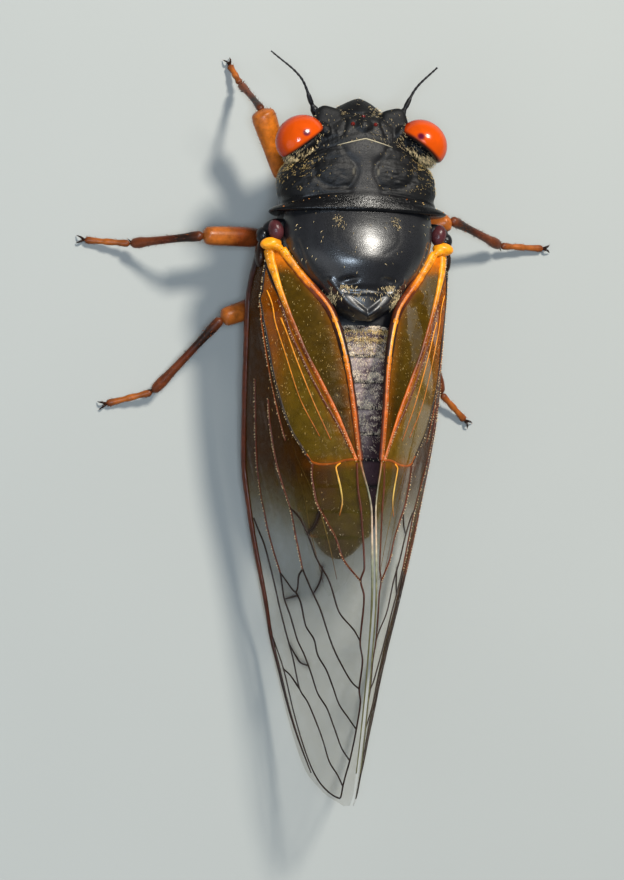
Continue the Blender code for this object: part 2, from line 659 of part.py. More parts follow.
def wing_plate(name, side, outline, veins, drop, rim):
    """A thin closed sheet on the wing's surface, whose veins and rim stand up in its outer face."""
    lines = [to_flat(route(pairs, VEIN_SPACING)) for pairs in veins.values()]
    points = [tuple(p) for p in outline]
    edges = [(i, (i + 1) % len(points)) for i in range(len(points))]
    kept_lines = []
    for line in lines:
        kept = [p for p in line if inside(outline, p, 0.3)]
        kept_lines.append(np.array(kept))
    for line in kept_lines:
        for track in (line, *strip_sides(line, VEIN_HALF_WIDTH)):
            track = [p for p in track if inside(outline, p, 0.12)]
            first = len(points)
            points += [tuple(p) for p in track]
            edges += [(first + i, first + i + 1) for i in range(len(track) - 1)]
    for y in steps(outline[:, 0].min(), outline[:, 0].max(), WING_GRID):
        for across in np.arange(0.7, 12.0, WING_GRID):
            place = np.array([y, across])
            clear = min(distance_to(line, place) for line in kept_lines) > 0.75
            if clear and inside(outline, place, 0.8):
                points.append((y, across))
    result = delaunay_2d_cdt([Vector(p) for p in points], edges, [], 1, 0.05)
    flat = np.array([tuple(p) for p in result[0]])
    triangles = result[2]
    width = wing_width(flat[:, 0])
    share = flat[:, 1] / width
    closed = np.vstack([outline, outline[:1]])
    rise = np.zeros(len(flat))
    for i, place in enumerate(flat):
        near_vein = min(distance_to(line, place) for line in kept_lines)
        near_rim = distance_to(closed, place)
        vein = VEIN_RISE * max(0.0, 1 - near_vein / VEIN_HALF_WIDTH)
        edge = rim * max(0.0, 1 - near_rim / RIM_WIDTH)
        rise[i] = max(vein, edge)
    surface, normal = wing_point(flat[:, 0], share), wing_normal(flat[:, 0], share)
    outer = surface + normal * (rise - drop)[:, None]
    inner = surface - normal * (MEMBRANE + drop)
    for face in (outer, inner):
        face[:, 0] = np.maximum(face[:, 0], GAP / 2)
    count = len(flat)
    faces = [tuple(t) for t in triangles] + [tuple(count + v for v in reversed(t)) for t in triangles]
    uses = {}
    for t in triangles:
        for a, b in zip(t, (*t[1:], t[0])):
            uses[(a, b)] = True
    for a, b in uses:
        if (b, a) not in uses:
            faces.append((b, a, count + a, count + b))
    both = np.vstack([outer, inner])
    both[:, 0] *= side
    plate = add_mesh(name, both, faces)
    triangulate(plate)
    turn_outward(plate)
    return plate


def triangulate(part):
    shape = bmesh.new()
    shape.from_mesh(part.data)
    bmesh.ops.triangulate(shape, faces=shape.faces)
    shape.to_mesh(part.data)
    shape.free()


def build_forewing(side, thorax):
    """Forewing plate with its veins, and the knob at its root that meets the thorax."""
    first, last = WING_SECTIONS[0][0], WING_SECTIONS[-1][0]
    places = steps(first, last, RIM_SPACING)
    inner = np.c_[places, np.zeros(len(places))]
    outer = np.c_[places, wing_width(places)]
    outline = np.vstack([inner, outer[::-1]])
    wing = wing_plate("forewing_" + SIDE_NAMES[side], side, outline, FOREWING_VEINS, 0.0, RIM_RISE)
    centre, sizes = WING_KNOB
    knob = rounded_piece("knob", (side * centre[0], *centre[1:]), sizes, -side * 0.25, 14, 8)
    apply_boolean(wing, [knob], "UNION")
    cut_clear(wing, [thorax])
    return wing


def build_hindwing(side):
    outline = to_flat(route((*HINDWING_OUTLINE, HINDWING_OUTLINE[0]), RIM_SPACING))[:-1]
    return wing_plate("hindwing_" + SIDE_NAMES[side], side, outline, HINDWING_VEINS, HINDWING_DROP, 0.0)


def limb(name, start, end, thickness, profile):
    """One straight length of a leg, whose ends reach a little past its joints."""
    start, end = np.array(start, float), np.array(end, float)
    ahead = (end - start) / np.linalg.norm(end - start) * thickness * JOINT_OVERLAP
    shares = np.linspace(0, 1, len(profile))[:, None]
    centres = (start - ahead) * (1 - shares) + (end + ahead) * shares
    return tube(name, centres, np.array(profile) * thickness)


def stand_flat(part):
    """Cuts the foot off level where it meets the ground."""
    shape = bmesh.new()
    shape.from_mesh(part.data)
    everything = shape.verts[:] + shape.edges[:] + shape.faces[:]
    ground = {"plane_co": (0, 0, 0), "plane_no": (0, 0, -1)}
    bmesh.ops.bisect_plane(shape, geom=everything, dist=1e-9, clear_outer=True, **ground)
    rim = [edge for edge in shape.edges if len(edge.link_faces) == 1]
    bmesh.ops.holes_fill(shape, edges=rim, sides=0)
    shape.to_mesh(part.data)
    shape.free()
    triangulate(part)
    turn_outward(part)
    keep_largest(part)


def build_leg(name, hip_parts):
    """Leg from its hip in the body to two claws, with a level sole."""
    points = LEG_PATHS[name]
    thick = FRONT_LEG_RADII if "front" in name else LEG_RADII
    lengths = list(zip(points[:-1], points[1:], thick, LIMB_PROFILES))
    leg = limb(name, *lengths[1])
    helpers = [limb("length", *length) for length in (lengths[0], *lengths[2:])]
    ankle, claw = np.array(points[-2]), np.array(points[-1])
    ahead = (claw - ankle) / np.linalg.norm(claw - ankle)
    ahead[2] = 0.0
    for turn in (-CLAW_SPREAD, CLAW_SPREAD):
        spread = np.array(Matrix.Rotation(turn, 3, "Z") @ Vector(ahead))
        tip = claw + spread * CLAW_LENGTH
        middle = claw + spread * CLAW_LENGTH * 0.5
        middle[2] += CLAW_ARCH
        tip[2] = CLAW_TIP_HEIGHT
        helpers.append(tube("claw", (claw - ahead * 0.1, middle, tip), CLAW_RADII, 1))
    apply_boolean(leg, helpers, "UNION")
    cut_clear(leg, hip_parts)
    stand_flat(leg)
    return leg


def build_antenna(side, eyes):
    """Tapered feeler whose root is cut clear of each of the head's forms and of the eyes."""
    points = ANTENNA_LEFT if side == LEFT else ANTENNA_RIGHT
    line = route(np.c_[points, ANTENNA_RADII], 0.6)
    antenna = tube("antenna_" + SIDE_NAMES[side], line[:, :3], line[:, 3])
    forms = head_forms()
    cut_clear(antenna, [*forms, *eyes], GAP + 0.1)
    for form in forms:
        bpy.data.objects.remove(form)
    return antenna


def build_beak(neighbours):
    line = route(np.c_[BEAK, BEAK_RADII], 0.8)
    beak = tube("beak", line[:, :3], line[:, 3])
    cut_clear(beak, neighbours)
    return beak


def centre_model():
    """Moves every part until the middle of the model's box is over the origin. Its feet stay at Z = 0."""
    frame = bpy.data.objects.new("cicada_frame", None)
    PARTS.objects.link(frame)
    parts = [part for part in PARTS.objects if part.type == "MESH"]
    corners = np.array([vertex.co[:] for part in parts for vertex in part.data.vertices])
    middle = (corners.min(axis=0) + corners.max(axis=0)) / 2
    frame.location = (-middle[0], -middle[1], 0.0)
    for part in parts:
        part.parent = frame


def build_cicada():
    head = build_head()
    eyes = [build_eye(side) for side in (LEFT, RIGHT)]
    pronotum = build_pronotum()
    cut_clear(pronotum, eyes)
    cut_clear(head, [*eyes, pronotum])
    thorax = build_thorax()
    abdomen = build_abdomen()
    cut_clear(abdomen, [thorax])
    for part in (head, pronotum, thorax, abdomen):
        dress(part, BLACK_SHELL)
    for eye in eyes:
        dress(eye, EYE_RED)
    for side in (LEFT, RIGHT):
        dress(build_antenna(side, eyes), BLACK_SHELL)
        dress(build_forewing(side, thorax), WING_AMBER)
        dress(build_hindwing(side), HINDWING_CLEAR)
    dress(build_beak([head, pronotum, thorax]), BLACK_SHELL)
    weld(head)
    for name in LEG_PATHS:
        near = [pronotum, thorax] if "front" in name else [thorax]
        dress(build_leg(name, near), FEMUR_ORANGE)
    centre_model()


PARTS = start_scene()
build_cicada()
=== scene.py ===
"""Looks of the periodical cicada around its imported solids: shell, eyes, wings, legs and hairs.

Shapes are worked out in millimetres in the animal's own frame: the head looks along -Y, its left side is
at +X and its feet stand on Z = 0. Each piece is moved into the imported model's frame when it is finished.
"""

import math

import bpy
import numpy as np
from mathutils import Matrix, Vector


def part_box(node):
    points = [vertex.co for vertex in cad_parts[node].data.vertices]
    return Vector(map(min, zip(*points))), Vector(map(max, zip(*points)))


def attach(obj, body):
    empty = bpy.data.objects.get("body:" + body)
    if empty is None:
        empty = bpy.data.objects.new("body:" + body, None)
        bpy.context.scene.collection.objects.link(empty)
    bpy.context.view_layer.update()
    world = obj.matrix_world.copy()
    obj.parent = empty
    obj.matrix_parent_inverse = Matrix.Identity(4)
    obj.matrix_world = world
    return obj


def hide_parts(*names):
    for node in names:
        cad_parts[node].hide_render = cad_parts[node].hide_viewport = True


# Frame and sides
MM = 0.001
LEFT, RIGHT = 1, -1
SIDE_NAMES = {LEFT: "left", RIGHT: "right"}
HEAD_TIP_Y = -0.15
BODY = "root"

# Camera, over the back, turned a little to the animal's left
CAMERA_TURN = math.radians(15.0)
CAMERA_TILT = math.radians(3.0)
CAMERA_ROLL = math.radians(0.45)
CAMERA_AIM = (2.0834, 19.4052, 5.0)
CAMERA_DISTANCE = 250.0
CAMERA_LENS = 177.52
CAMERA_SENSOR = 36.0

# Light: place in millimetres from the middle of the body, size in millimetres, power in watts, colour
LIGHTS = {
    "key": ((-95.0, -170.0, 265.0), 60.0, 1.25, (1.0, 0.96, 0.88)),
    "fill": ((190.0, 90.0, 160.0), 200.0, 0.1, (0.9, 0.95, 1.0)),
    "sky": ((75.0, 22.0, 325.0), 70.0, 0.6, (0.7, 0.84, 1.0)),
}
LIGHT_AIM = (0.0, 0.0, 5.0)
WORLD_COLOUR = (0.88, 0.94, 1.0)
WORLD_STRENGTH = 0.17
FLOOR_COLOUR = (0.36, 0.37, 0.35)
FLOOR_SIZE = 3000.0

# Body sections: place along Y, half width, lowest, widest and highest Z
HEAD_SECTIONS = (
    (0.75, 1.9, 5.0, 6.5, 7.55),
    (1.05, 2.9, 4.4, 6.5, 8.0),
    (1.6, 3.45, 3.6, 6.4, 8.3),
    (2.3, 3.7, 3.1, 6.3, 8.45),
    (2.95, 3.75, 2.9, 6.2, 8.45),
)
PRONOTUM_SECTIONS = (
    (2.3, 3.9, 2.9, 6.5, 8.55),
    (2.9, 4.4, 2.6, 6.6, 8.66),
    (3.6, 4.62, 2.5, 6.7, 8.71),
    (4.6, 4.62, 2.45, 6.8, 8.76),
    (5.3, 4.52, 2.45, 6.9, 8.83),
    (5.8, 4.62, 2.5, 7.1, 8.96),
    (6.0, 4.98, 2.5, 7.1, 9.02),
    (6.35, 5.2, 2.6, 7.2, 9.08),
    (6.5, 5.08, 2.8, 7.2, 8.98),
)
MESONOTUM_SECTIONS = (
    (6.2, 4.25, 5.0, 6.9, 8.78),
    (6.8, 4.35, 5.0, 6.9, 9.07),
    (7.6, 4.4, 4.8, 6.9, 9.39),
    (8.6, 4.25, 4.8, 6.9, 9.66),
    (9.4, 3.9, 4.8, 6.8, 9.76),
    (10.2, 3.4, 4.8, 6.7, 9.65),
    (11.3, 2.55, 4.8, 6.6, 9.4),
    (12.2, 1.6, 4.8, 6.5, 9.3),
    (12.7, 0.7, 5.0, 6.4, 8.9),
)
PLEURA_SECTIONS = (
    (6.2, 4.2, 2.5, 5.2, 7.9),
    (6.7, 4.25, 2.45, 5.2, 7.9),
    (8.0, 4.3, 2.2, 5.0, 7.4),
    (9.5, 3.85, 2.1, 4.8, 6.5),
    (11.0, 3.6, 2.1, 4.8, 6.8),
    (12.9, 3.5, 2.2, 4.8, 7.85),
    (13.4, 3.3, 2.4, 4.8, 7.6),
)
ABDOMEN_SECTIONS = (
    (12.6, 3.3, 2.3, 4.8, 7.6),
    (13.2, 3.5, 2.1, 4.8, 7.9),
    (15.0, 3.65, 1.9, 4.7, 7.75),
    (17.4, 3.5, 1.75, 4.5, 7.3),
    (19.9, 3.1, 1.75, 4.2, 6.7),
    (22.4, 2.7, 1.85, 3.9, 5.9),
    (24.0, 2.1, 2.0, 3.7, 5.2),
    (25.2, 1.4, 2.2, 3.5, 4.6),
    (25.9, 0.8, 2.5, 3.4, 4.1),
    (26.2, 0.3, 2.8, 3.4, 3.75),
)
BODY_SQUARENESS = 2.1
FRONT_BOW = 1.0
FRONT_EDGE_BOW = 1.3
BODY_SIDES = 260
BODY_SPACING = 0.085

# Colours, in linear light
BLACK = (0.0075, 0.0075, 0.009)
DEEP_BLACK = (0.004, 0.004, 0.0045)
DARK_GREY = (0.013, 0.0125, 0.013)
PURPLE_BLACK = (0.05, 0.028, 0.034)
# Silver grey of the abdomen's top, partly its silver hairs and partly a painted sheen
RING_SILVER_AND_SHEEN = (0.36, 0.28, 0.26)
GOLD = (0.8, 0.55, 0.2)
PALE_GOLD = (0.95, 0.72, 0.38)
SILVER_GOLD = (0.95, 0.78, 0.58)
CREAM = (0.7, 0.6, 0.42)
ORANGE = (0.42, 0.08, 0.002)
YELLOW_ORANGE = (0.85, 0.3, 0.01)
PALE_YELLOW = (0.62, 0.42, 0.1)
AMBER = (0.3, 0.065, 0.005)
RED_BROWN = (0.09, 0.017, 0.005)
DARK_BROWN = (0.018, 0.007, 0.004)
# Painted highlight and painted sheen along the forewings' inner margins
PINK_HIGHLIGHT = (0.6, 0.42, 0.28)
SILVER_SHEEN_GREY = (0.2, 0.2, 0.13)
OLIVE = (0.12, 0.11, 0.04)
EYE_RED = (0.58, 0.064, 0.0008)
# Painted shade of the eyes: their red deepens below their tops
EYE_SHADE_RED = (0.35, 0.012, 0.0005)
# Painted dark reflection spot of the eyes, a colour that also darkens their undersides as painted shade
EYE_REFLECTION_AND_SHADE = (0.1, 0.003, 0.02)
OCELLUS_RED = (0.12, 0.008, 0.005)
LOBE_PURPLE = (0.07, 0.018, 0.02)
LEG_ORANGE = (0.55, 0.14, 0.01)
LEG_MIDDLE = (0.32, 0.085, 0.012)
LEG_RED = (0.16, 0.032, 0.006)
LEG_BROWN = (0.12, 0.028, 0.008)


def smooth(keys, places):
    """Values at each place, on smooth curves through rows whose first number is the place."""
    keys = np.array(keys, float)
    at, values = keys[:, 0], keys[:, 1:]
    step = np.diff(at)[:, None]
    rise = np.diff(values, axis=0) / step
    slope = np.zeros_like(values)
    onward = rise[:-1] * rise[1:] > 0
    total = np.where(onward, rise[:-1] + rise[1:], 1.0)
    slope[1:-1] = np.where(onward, 2 * rise[:-1] * rise[1:] / total, 0.0)
    slope[0], slope[-1] = rise[0], rise[-1]
    places = np.clip(np.asarray(places, float), at[0], at[-1])
    i = np.clip(np.searchsorted(at, places, side="right") - 1, 0, len(at) - 2)
    s = ((places - at[i]) / step[i, 0])[..., None]
    start = values[i] * (1 + 2 * s) * (1 - s) ** 2 + slope[i] * step[i] * s * (1 - s) ** 2
    end = values[i + 1] * s**2 * (3 - 2 * s) - slope[i + 1] * step[i] * s**2 * (1 - s)
    return start + end


def route(points, spacing):
    """Evenly spaced points on a smooth curve through the given ones."""
    points = np.array(points, float)
    chord = np.r_[0.0, np.cumsum(np.linalg.norm(np.diff(points, axis=0), axis=1))]
    fine = smooth(np.c_[chord, points], np.linspace(0, chord[-1], 40 * len(points)))
    along = np.r_[0.0, np.cumsum(np.linalg.norm(np.diff(fine, axis=0), axis=1))]
    count = max(3, int(round(along[-1] / spacing)) + 1)
    wanted = np.linspace(0, along[-1], count)
    return np.array([np.interp(wanted, along, fine[:, k]) for k in range(points.shape[1])]).T


def rows_of(sections, spacing):
    """Evenly spaced places along Y, from the first section to the last."""
    start, end = sections[0][0], sections[-1][0]
    return np.linspace(start, end, max(2, int(round((end - start) / spacing)) + 1))


def full_turn(sides):
    return np.arange(sides) * 2 * math.pi / sides


def unit(vectors):
    return vectors / np.maximum(np.linalg.norm(vectors, axis=-1, keepdims=True), 1e-6)


def mirrored(place, side):
    return (side * place[0], *place[1:])


def folded(points):
    """Distance from the body's middle plane, place along Y and height of each point."""
    return np.abs(points[:, 0]), points[:, 1], points[:, 2]


def blend(first, second, share):
    share = np.clip(np.asarray(share, float), 0, 1)[..., None]
    return np.array(first) * (1 - share) + np.array(second) * share


def fade(value, start, end):
    """0 before the start, 1 after the end and a smooth step between them."""
    share = np.clip((value - start) / (end - start), 0, 1)
    return share * share * (3 - 2 * share)


def bell(distance, width):
    """1 at no distance, and nearly 0 beyond twice the width."""
    return np.exp(-((distance / width) ** 2))


def distance_to(line, places):
    """Distance of flat places from a line of points."""
    nearest = np.full(len(places), np.inf)
    for a, b in zip(line[:-1], line[1:]):
        run = b - a
        share = np.clip((places - a) @ run / max(run @ run, 1e-9), 0, 1)
        nearest = np.minimum(nearest, np.linalg.norm(places - a - share[:, None] * run, axis=1))
    return nearest


def beside(points, line, spacing=0.1):
    """Distance over the back from a line and its mirror image."""
    return distance_to(route(line, spacing), np.c_[np.abs(points[:, 0]), points[:, 1]])


def ripple(points, scale, seed):
    """Soft irregular waves between about -1 and 1, the same each time."""
    draw = np.random.default_rng(seed)
    total = np.zeros(len(points))
    for _ in range(7):
        direction = unit(draw.normal(size=3))
        pitch = scale * draw.uniform(0.6, 1.6)
        total += np.sin(points @ direction * 2 * math.pi / pitch + draw.uniform(0, 2 * math.pi))
    return total / 4


def tinted(points, colour, roughness=0.3):
    """A colour and a roughness for each point."""
    shade = np.ones((len(points), 4))
    shade[:, :3] = colour
    shade[:, 3] = roughness
    return shade


class Forms:
    """Points, faces, colours and skin places of many forms that make one piece."""

    def __init__(self):
        self.points, self.faces, self.colours, self.skin = [], [], [], []
        self.count = 0

    def add(self, points, faces, colour, roughness=0.35, skin=None):
        points = np.asarray(points, float).reshape(-1, 3)
        self.points.append(points)
        self.faces += [np.asarray(group) + self.count for group in faces]
        self.colours.append(tinted(points, colour, roughness))
        if skin is not None:
            self.skin.append(skin)
        self.count += len(points)

    def piece(self, name):
        made = add_mesh(name, np.concatenate(self.points), self.faces)
        paint(made, np.concatenate(self.colours))
        if self.skin:
            unwrap(made, np.concatenate(self.skin))
        return made


def one_form(name, points, faces, colour, roughness):
    forms = Forms()
    forms.add(points, faces, colour, roughness)
    return forms.piece(name)


def add_object(name, data):
    made = bpy.data.objects.new(name, data)
    bpy.context.scene.collection.objects.link(made)
    return made


def add_mesh(name, points, faces):
    """An object, facing outward, from points and groups of faces with equal numbers of corners."""
    faces = [np.asarray(group) for group in faces]
    corners = np.concatenate([group.reshape(-1) for group in faces])
    sizes = np.concatenate([np.full(len(group), group.shape[1]) for group in faces])
    mesh = bpy.data.meshes.new(name)
    mesh.vertices.add(len(points))
    mesh.vertices.foreach_set("co", np.asarray(points, np.float32).reshape(-1))
    mesh.loops.add(len(corners))
    mesh.loops.foreach_set("vertex_index", corners.astype(np.int32))
    mesh.polygons.add(len(sizes))
    mesh.polygons.foreach_set("loop_start", np.r_[0, np.cumsum(sizes)[:-1]].astype(np.int32))
    mesh.update(calc_edges=True)
    mesh.validate()
    mesh.shade_smooth()
    return turn_outward(add_object(name, mesh))


def read_all(items, key, kind, width):
    """All values of one kind that a mesh holds, with a row for each item."""
    values = np.empty(len(items) * width, kind)
    items.foreach_get(key, values)
    return values.reshape(-1, width)


def places_of(piece):
    return read_all(piece.data.vertices, "co", np.float32, 3).astype(float)


def normals_of(piece):
    return read_all(piece.data.vertices, "normal", np.float32, 3).astype(float)


def triangles_of(piece):
    piece.data.calc_loop_triangles()
    return read_all(piece.data.loop_triangles, "vertices", np.int32, 3)


def move_points(piece, points):
    piece.data.vertices.foreach_set("co", np.asarray(points, np.float32).reshape(-1))
    piece.data.update()


def carve(piece, relief):
    """Moves the surface along its normals by the relief, in millimetres, at each place."""
    points, normals = places_of(piece), normals_of(piece)
    move_points(piece, points + normals * relief(points, normals)[:, None])


def paint(piece, colours):
    """Stores a colour, and a roughness or a cover, for each point, which the materials read as the tint."""
    if "tint" in piece.data.attributes:
        piece.data.attributes.remove(piece.data.attributes["tint"])
    layer = piece.data.attributes.new("tint", "FLOAT_COLOR", "POINT")
    layer.data.foreach_set("color", np.asarray(colours, np.float32).reshape(-1))


def unwrap(piece, skin):
    """Gives each point its place on the unwrapped skin, in a layer named OFBake."""
    corners = read_all(piece.data.loops, "vertex_index", np.int32, 1)[:, 0]
    layer = piece.data.uv_layers.new(name="OFBake")
    layer.data.foreach_set("uv", np.asarray(skin, np.float32)[corners].reshape(-1))


def grid_faces(rows, columns, closed=False):
    """Quads of a grid whose points are numbered row by row."""
    across = columns if closed else columns - 1
    row, column = np.meshgrid(np.arange(rows - 1), np.arange(across), indexing="ij")
    following = (column + 1) % columns
    a, b = row * columns + column, row * columns + following
    return np.stack([a, a + columns, b + columns, b], axis=-1).reshape(-1, 4)


def fan_faces(ring, middle, turned):
    following = np.roll(ring, -1)
    fan = np.stack([ring, following, np.full(len(ring), middle)], axis=-1)
    return fan if turned else fan[:, ::-1]


def capped_faces(rows, sides):
    """Faces of a closed tube of rings, whose two end points are numbered after those of its rings."""
    count = rows * sides
    first, last = np.arange(sides), np.arange(count - sides, count)
    return [grid_faces(rows, sides, True), fan_faces(first, count, True), fan_faces(last, count + 1, False)]


def directions(centres, up):
    """Unit vectors along a line, and across it at right angles to the upward direction."""
    along = unit(np.gradient(centres, axis=0))
    return along, unit(np.cross(along, up))


def swept(centres, radii, across, up, sides, flat=1.0):
    """Points and faces of a closed tube, from its centre line and two directions across it."""
    turn = full_turn(sides)[:, None]
    radii = np.broadcast_to(radii, len(centres))[:, None, None]
    ring = np.cos(turn) * across[:, None] + flat * np.sin(turn) * up[:, None]
    points = centres[:, None] + radii * ring
    return np.vstack([points.reshape(-1, 3), centres[:1], centres[-1:]]), capped_faces(len(centres), sides)


def tube(centres, radii, sides, flat=1.0):
    """A swept tube whose flat side faces up as far as its line lets it."""
    along, across = directions(centres, (0, 0, 1))
    return swept(centres, radii, across, np.cross(across, along), sides, flat)


def rounded(value, power):
    """Sine or cosine values drawn out towards 1 by a power below 1, which squares the form off."""
    return np.sign(value) * np.abs(value) ** power


def ball(centre, half_sizes, turn=0.0, rings=24, sides=36, boxy=1.0):
    """Points and faces of a rounded form, turned about the upright axis; below 1, boxy squares it off."""
    polar, around = np.linspace(0, math.pi, rings + 1)[1:-1, None], full_turn(sides)
    out, level = rounded(np.sin(polar), boxy), rounded(np.cos(polar), boxy)
    axes = (out * rounded(np.cos(around), boxy), out * rounded(np.sin(around), boxy), level + 0 * around)
    points = np.vstack([np.stack(axes, axis=-1).reshape(-1, 3), (0, 0, 1), (0, 0, -1)]) * np.array(half_sizes)
    spin = np.array(Matrix.Rotation(turn, 3, "Z"))
    return points @ spin.T + np.array(centre), capped_faces(rings - 1, sides)


def body_point(sections, y, angle):
    """Surface of a body piece: angle 0 is the middle of the back and half a turn the underside."""
    half, low, waist, top = np.moveaxis(smooth(sections, y), -1, 0)
    up, power = np.cos(angle), 2 / BODY_SQUARENESS
    x = half * rounded(np.sin(angle), power)
    z = waist + np.where(up > 0, top - waist, waist - low) * rounded(up, power)
    return np.stack([x, y + 0 * x, z], axis=-1)


def loft(name, sections, spacing, shape=None, sides=BODY_SIDES):
    """A closed body piece of rings along Y, which a function may shape further."""
    rows = rows_of(sections, spacing)
    y = np.repeat(rows[:, None], sides, axis=1)
    points = body_point(sections, y, full_turn(sides))
    if shape:
        points = shape(points, y)
    ends = [points[0].mean(axis=0), points[-1].mean(axis=0)]
    return add_mesh(name, np.vstack([points.reshape(-1, 3), ends]), capped_faces(len(rows), sides))


def turn_outward(piece):
    """Flips the faces if the closed mesh is inside out."""
    a, b, c = places_of(piece)[triangles_of(piece)].transpose(1, 0, 2)
    if (a * np.cross(b, c)).sum() < 0:
        piece.data.flip_normals()
    return piece


def fused(name, pieces, voxel, rounds):
    """One closed skin round overlapping pieces, softened where they meet."""
    shapes = Forms()
    for piece in pieces:
        corners = [np.array(face.vertices) for face in piece.data.polygons]
        faces = [np.array([c for c in corners if len(c) == size]).reshape(-1, size) for size in (3, 4)]
        shapes.add(places_of(piece), faces, BLACK)
        bpy.data.objects.remove(piece)
    whole = add_mesh(name + "_parts", np.concatenate(shapes.points), shapes.faces)
    fuse = whole.modifiers.new("fuse", "REMESH")
    fuse.mode = "VOXEL"
    fuse.voxel_size = voxel
    fuse.use_smooth_shade = True
    soften = whole.modifiers.new("soften", "SMOOTH")
    soften.factor = 0.5
    soften.iterations = rounds
    bpy.context.view_layer.update()
    mesh = bpy.data.meshes.new_from_object(whole.evaluated_get(bpy.context.evaluated_depsgraph_get()))
    mesh.name = name
    bpy.data.objects.remove(whole)
    return add_object(name, mesh)


def finish_piece(piece, material, slot, *replaces):
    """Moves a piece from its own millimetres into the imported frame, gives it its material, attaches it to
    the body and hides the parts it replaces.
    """
    move_points(piece, (places_of(piece) + ORIGIN) * MM)
    piece.data.materials.clear()
    piece.data.materials.append(material)
    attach(piece, BODY)
    if replaces:
        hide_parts(*replaces)
    return piece


# Materials, which read the tint: a colour, and beside it a roughness or a wing skin's cover

def connect(tree, node, inputs):
    """Fills a node's inputs, each with a value or with another node's socket."""
    for key, value in inputs.items():
        if isinstance(value, bpy.types.NodeSocket):
            tree.links.new(value, node.inputs[key])
        else:
            node.inputs[key].default_value = value


def add_node(tree, kind, inputs, output=0, **settings):
    """A node's output socket, after its settings and inputs are filled in."""
    node = tree.nodes.new(kind)
    for key, value in settings.items():
        setattr(node, key, value)
    connect(tree, node, inputs)
    return node.outputs[output]


def spread(tree, value, low, high, start=0.3, end=0.7):
    """A value that runs from start to end made to run from low to high."""
    limits = {"Value": value, "From Min": start, "From Max": end, "To Min": low, "To Max": high}
    return add_node(tree, "ShaderNodeMapRange", limits, "Result")


def scaled(tree, vector, amount):
    return add_node(tree, "ShaderNodeVectorMath", {0: vector, "Scale": amount}, operation="SCALE")


def combine(tree, operation, first, second):
    return add_node(tree, "ShaderNodeMath", {0: first, 1: second}, operation=operation)


def pattern(tree, place, kind, scale, detail):
    """Soft noise with its detail, or cells that rise from their middles up to a distance."""
    if kind == "noise":
        inputs = {"Vector": place, "Scale": scale, "Detail": detail, "Roughness": 0.55}
        return add_node(tree, "ShaderNodeTexNoise", inputs, "Fac")
    distance = add_node(tree, "ShaderNodeTexVoronoi", {"Vector": place, "Scale": scale}, "Distance")
    return spread(tree, distance, 0.0, 1.0, 0.0, detail)


def surface(name, cloud, shades, bumps, constants, wear=None, cover=None):
    """A material whose tint is clouded, worn in its roughness or uneven in its cover, and bumpy.

    A cloud is a noise's scale and detail, and a bump a pattern's kind, scale, detail, strength and height.
    """
    material = bpy.data.materials.new(name)
    material.use_nodes = True
    tree = material.node_tree
    place = scaled(tree, add_node(tree, "ShaderNodeTexCoord", {}, "Object"), 1 / MM)
    tint = add_node(tree, "ShaderNodeAttribute", {}, "Color", attribute_name="tint")
    beside_tint = add_node(tree, "ShaderNodeAttribute", {}, "Alpha", attribute_name="tint")
    clouds = pattern(tree, place, "noise", *cloud)
    inputs = {**constants, "Base Color": scaled(tree, tint, spread(tree, clouds, *shades))}
    for kind, scale, detail, strength, height in bumps:
        grain = pattern(tree, place, kind, scale, detail)
        under = {"Normal": inputs["Normal"]} if "Normal" in inputs else {}
        bump = {"Height": grain, "Strength": strength, "Distance": height * MM, **under}
        inputs["Normal"] = add_node(tree, "ShaderNodeBump", bump, "Normal")
    if wear:
        inputs["Roughness"] = combine(tree, "ADD", beside_tint, spread(tree, grain, *wear))
    if cover:
        inputs["Alpha"] = combine(tree, "MULTIPLY", beside_tint, spread(tree, clouds, *cover))
    connect(tree, tree.nodes["Principled BSDF"], inputs)
    return material


def shell_material(name, specular, coat, roughening):
    """Black cuticle with fine punctures and faint unevenness."""
    bumps = (("cells", 9.0, 0.35, 0.7 * roughening, 0.02), ("noise", 14.0, 3.0, roughening, 0.02))
    gloss = {"Specular IOR Level": specular, "Coat Weight": coat, "Coat Roughness": 0.25}
    return surface(name, (1.6, 5.0), (0.75, 1.3), bumps, gloss, wear=(-0.05, 0.1))


def eye_material():
    """Red compound eye under a clear coat, with its facets as fine bumps."""
    facets = (("cells", 26.0, 2.0, 0.25, 0.016),)
    gloss = {"Specular IOR Level": 0.2, "Coat Weight": 0.15, "Coat Roughness": 0.08}
    return surface("cicada_eye", (1.2, 2.0), (0.88, 1.1), facets, gloss, wear=(0.0, 0.0))


def horn_material():
    """Semi-clear cuticle of veins and legs, with fine wrinkles."""
    wrinkles, gloss = (("noise", 22.0, 3.0, 0.5, 0.015),), {"Specular IOR Level": 0.25}
    return surface("cicada_horn", (3.0, 4.0), (0.7, 1.3), wrinkles, gloss, wear=(-0.06, 0.1))


def membrane_material(name, wrinkles):
    """Thin clear wing skin whose colour and cover are painted, with crinkles that catch the light."""
    bumps = (("noise", 1.1, 3.0, wrinkles, 0.12), ("noise", 9.0, 2.0, 0.2, 0.02))
    gloss = {"Roughness": 0.35, "Specular IOR Level": 0.06}
    return surface(name, (2.2, 4.0), (0.8, 1.2), bumps, gloss, cover=(0.85, 1.15))


def hair_material():
    return surface("cicada_hair", (6.0, 2.0), (0.7, 1.25), (), {"Roughness": 0.4})


def floor_material():
    """Plain pale board with a trace of unevenness."""
    grain = (("noise", 1.5, 3.0, 0.1, 0.02),)
    return surface("studio_floor", (0.02, 3.0), (0.97, 1.03), grain, {"Roughness": 0.7})


# Body plates

def bowed_back(points, bow, half, power=2.0):
    """Moves the sides of a section back, as the plates' edges curve round the body."""
    points[..., 1] += bow * np.minimum(np.abs(points[..., 0]) / half, 1.2) ** power
    return points


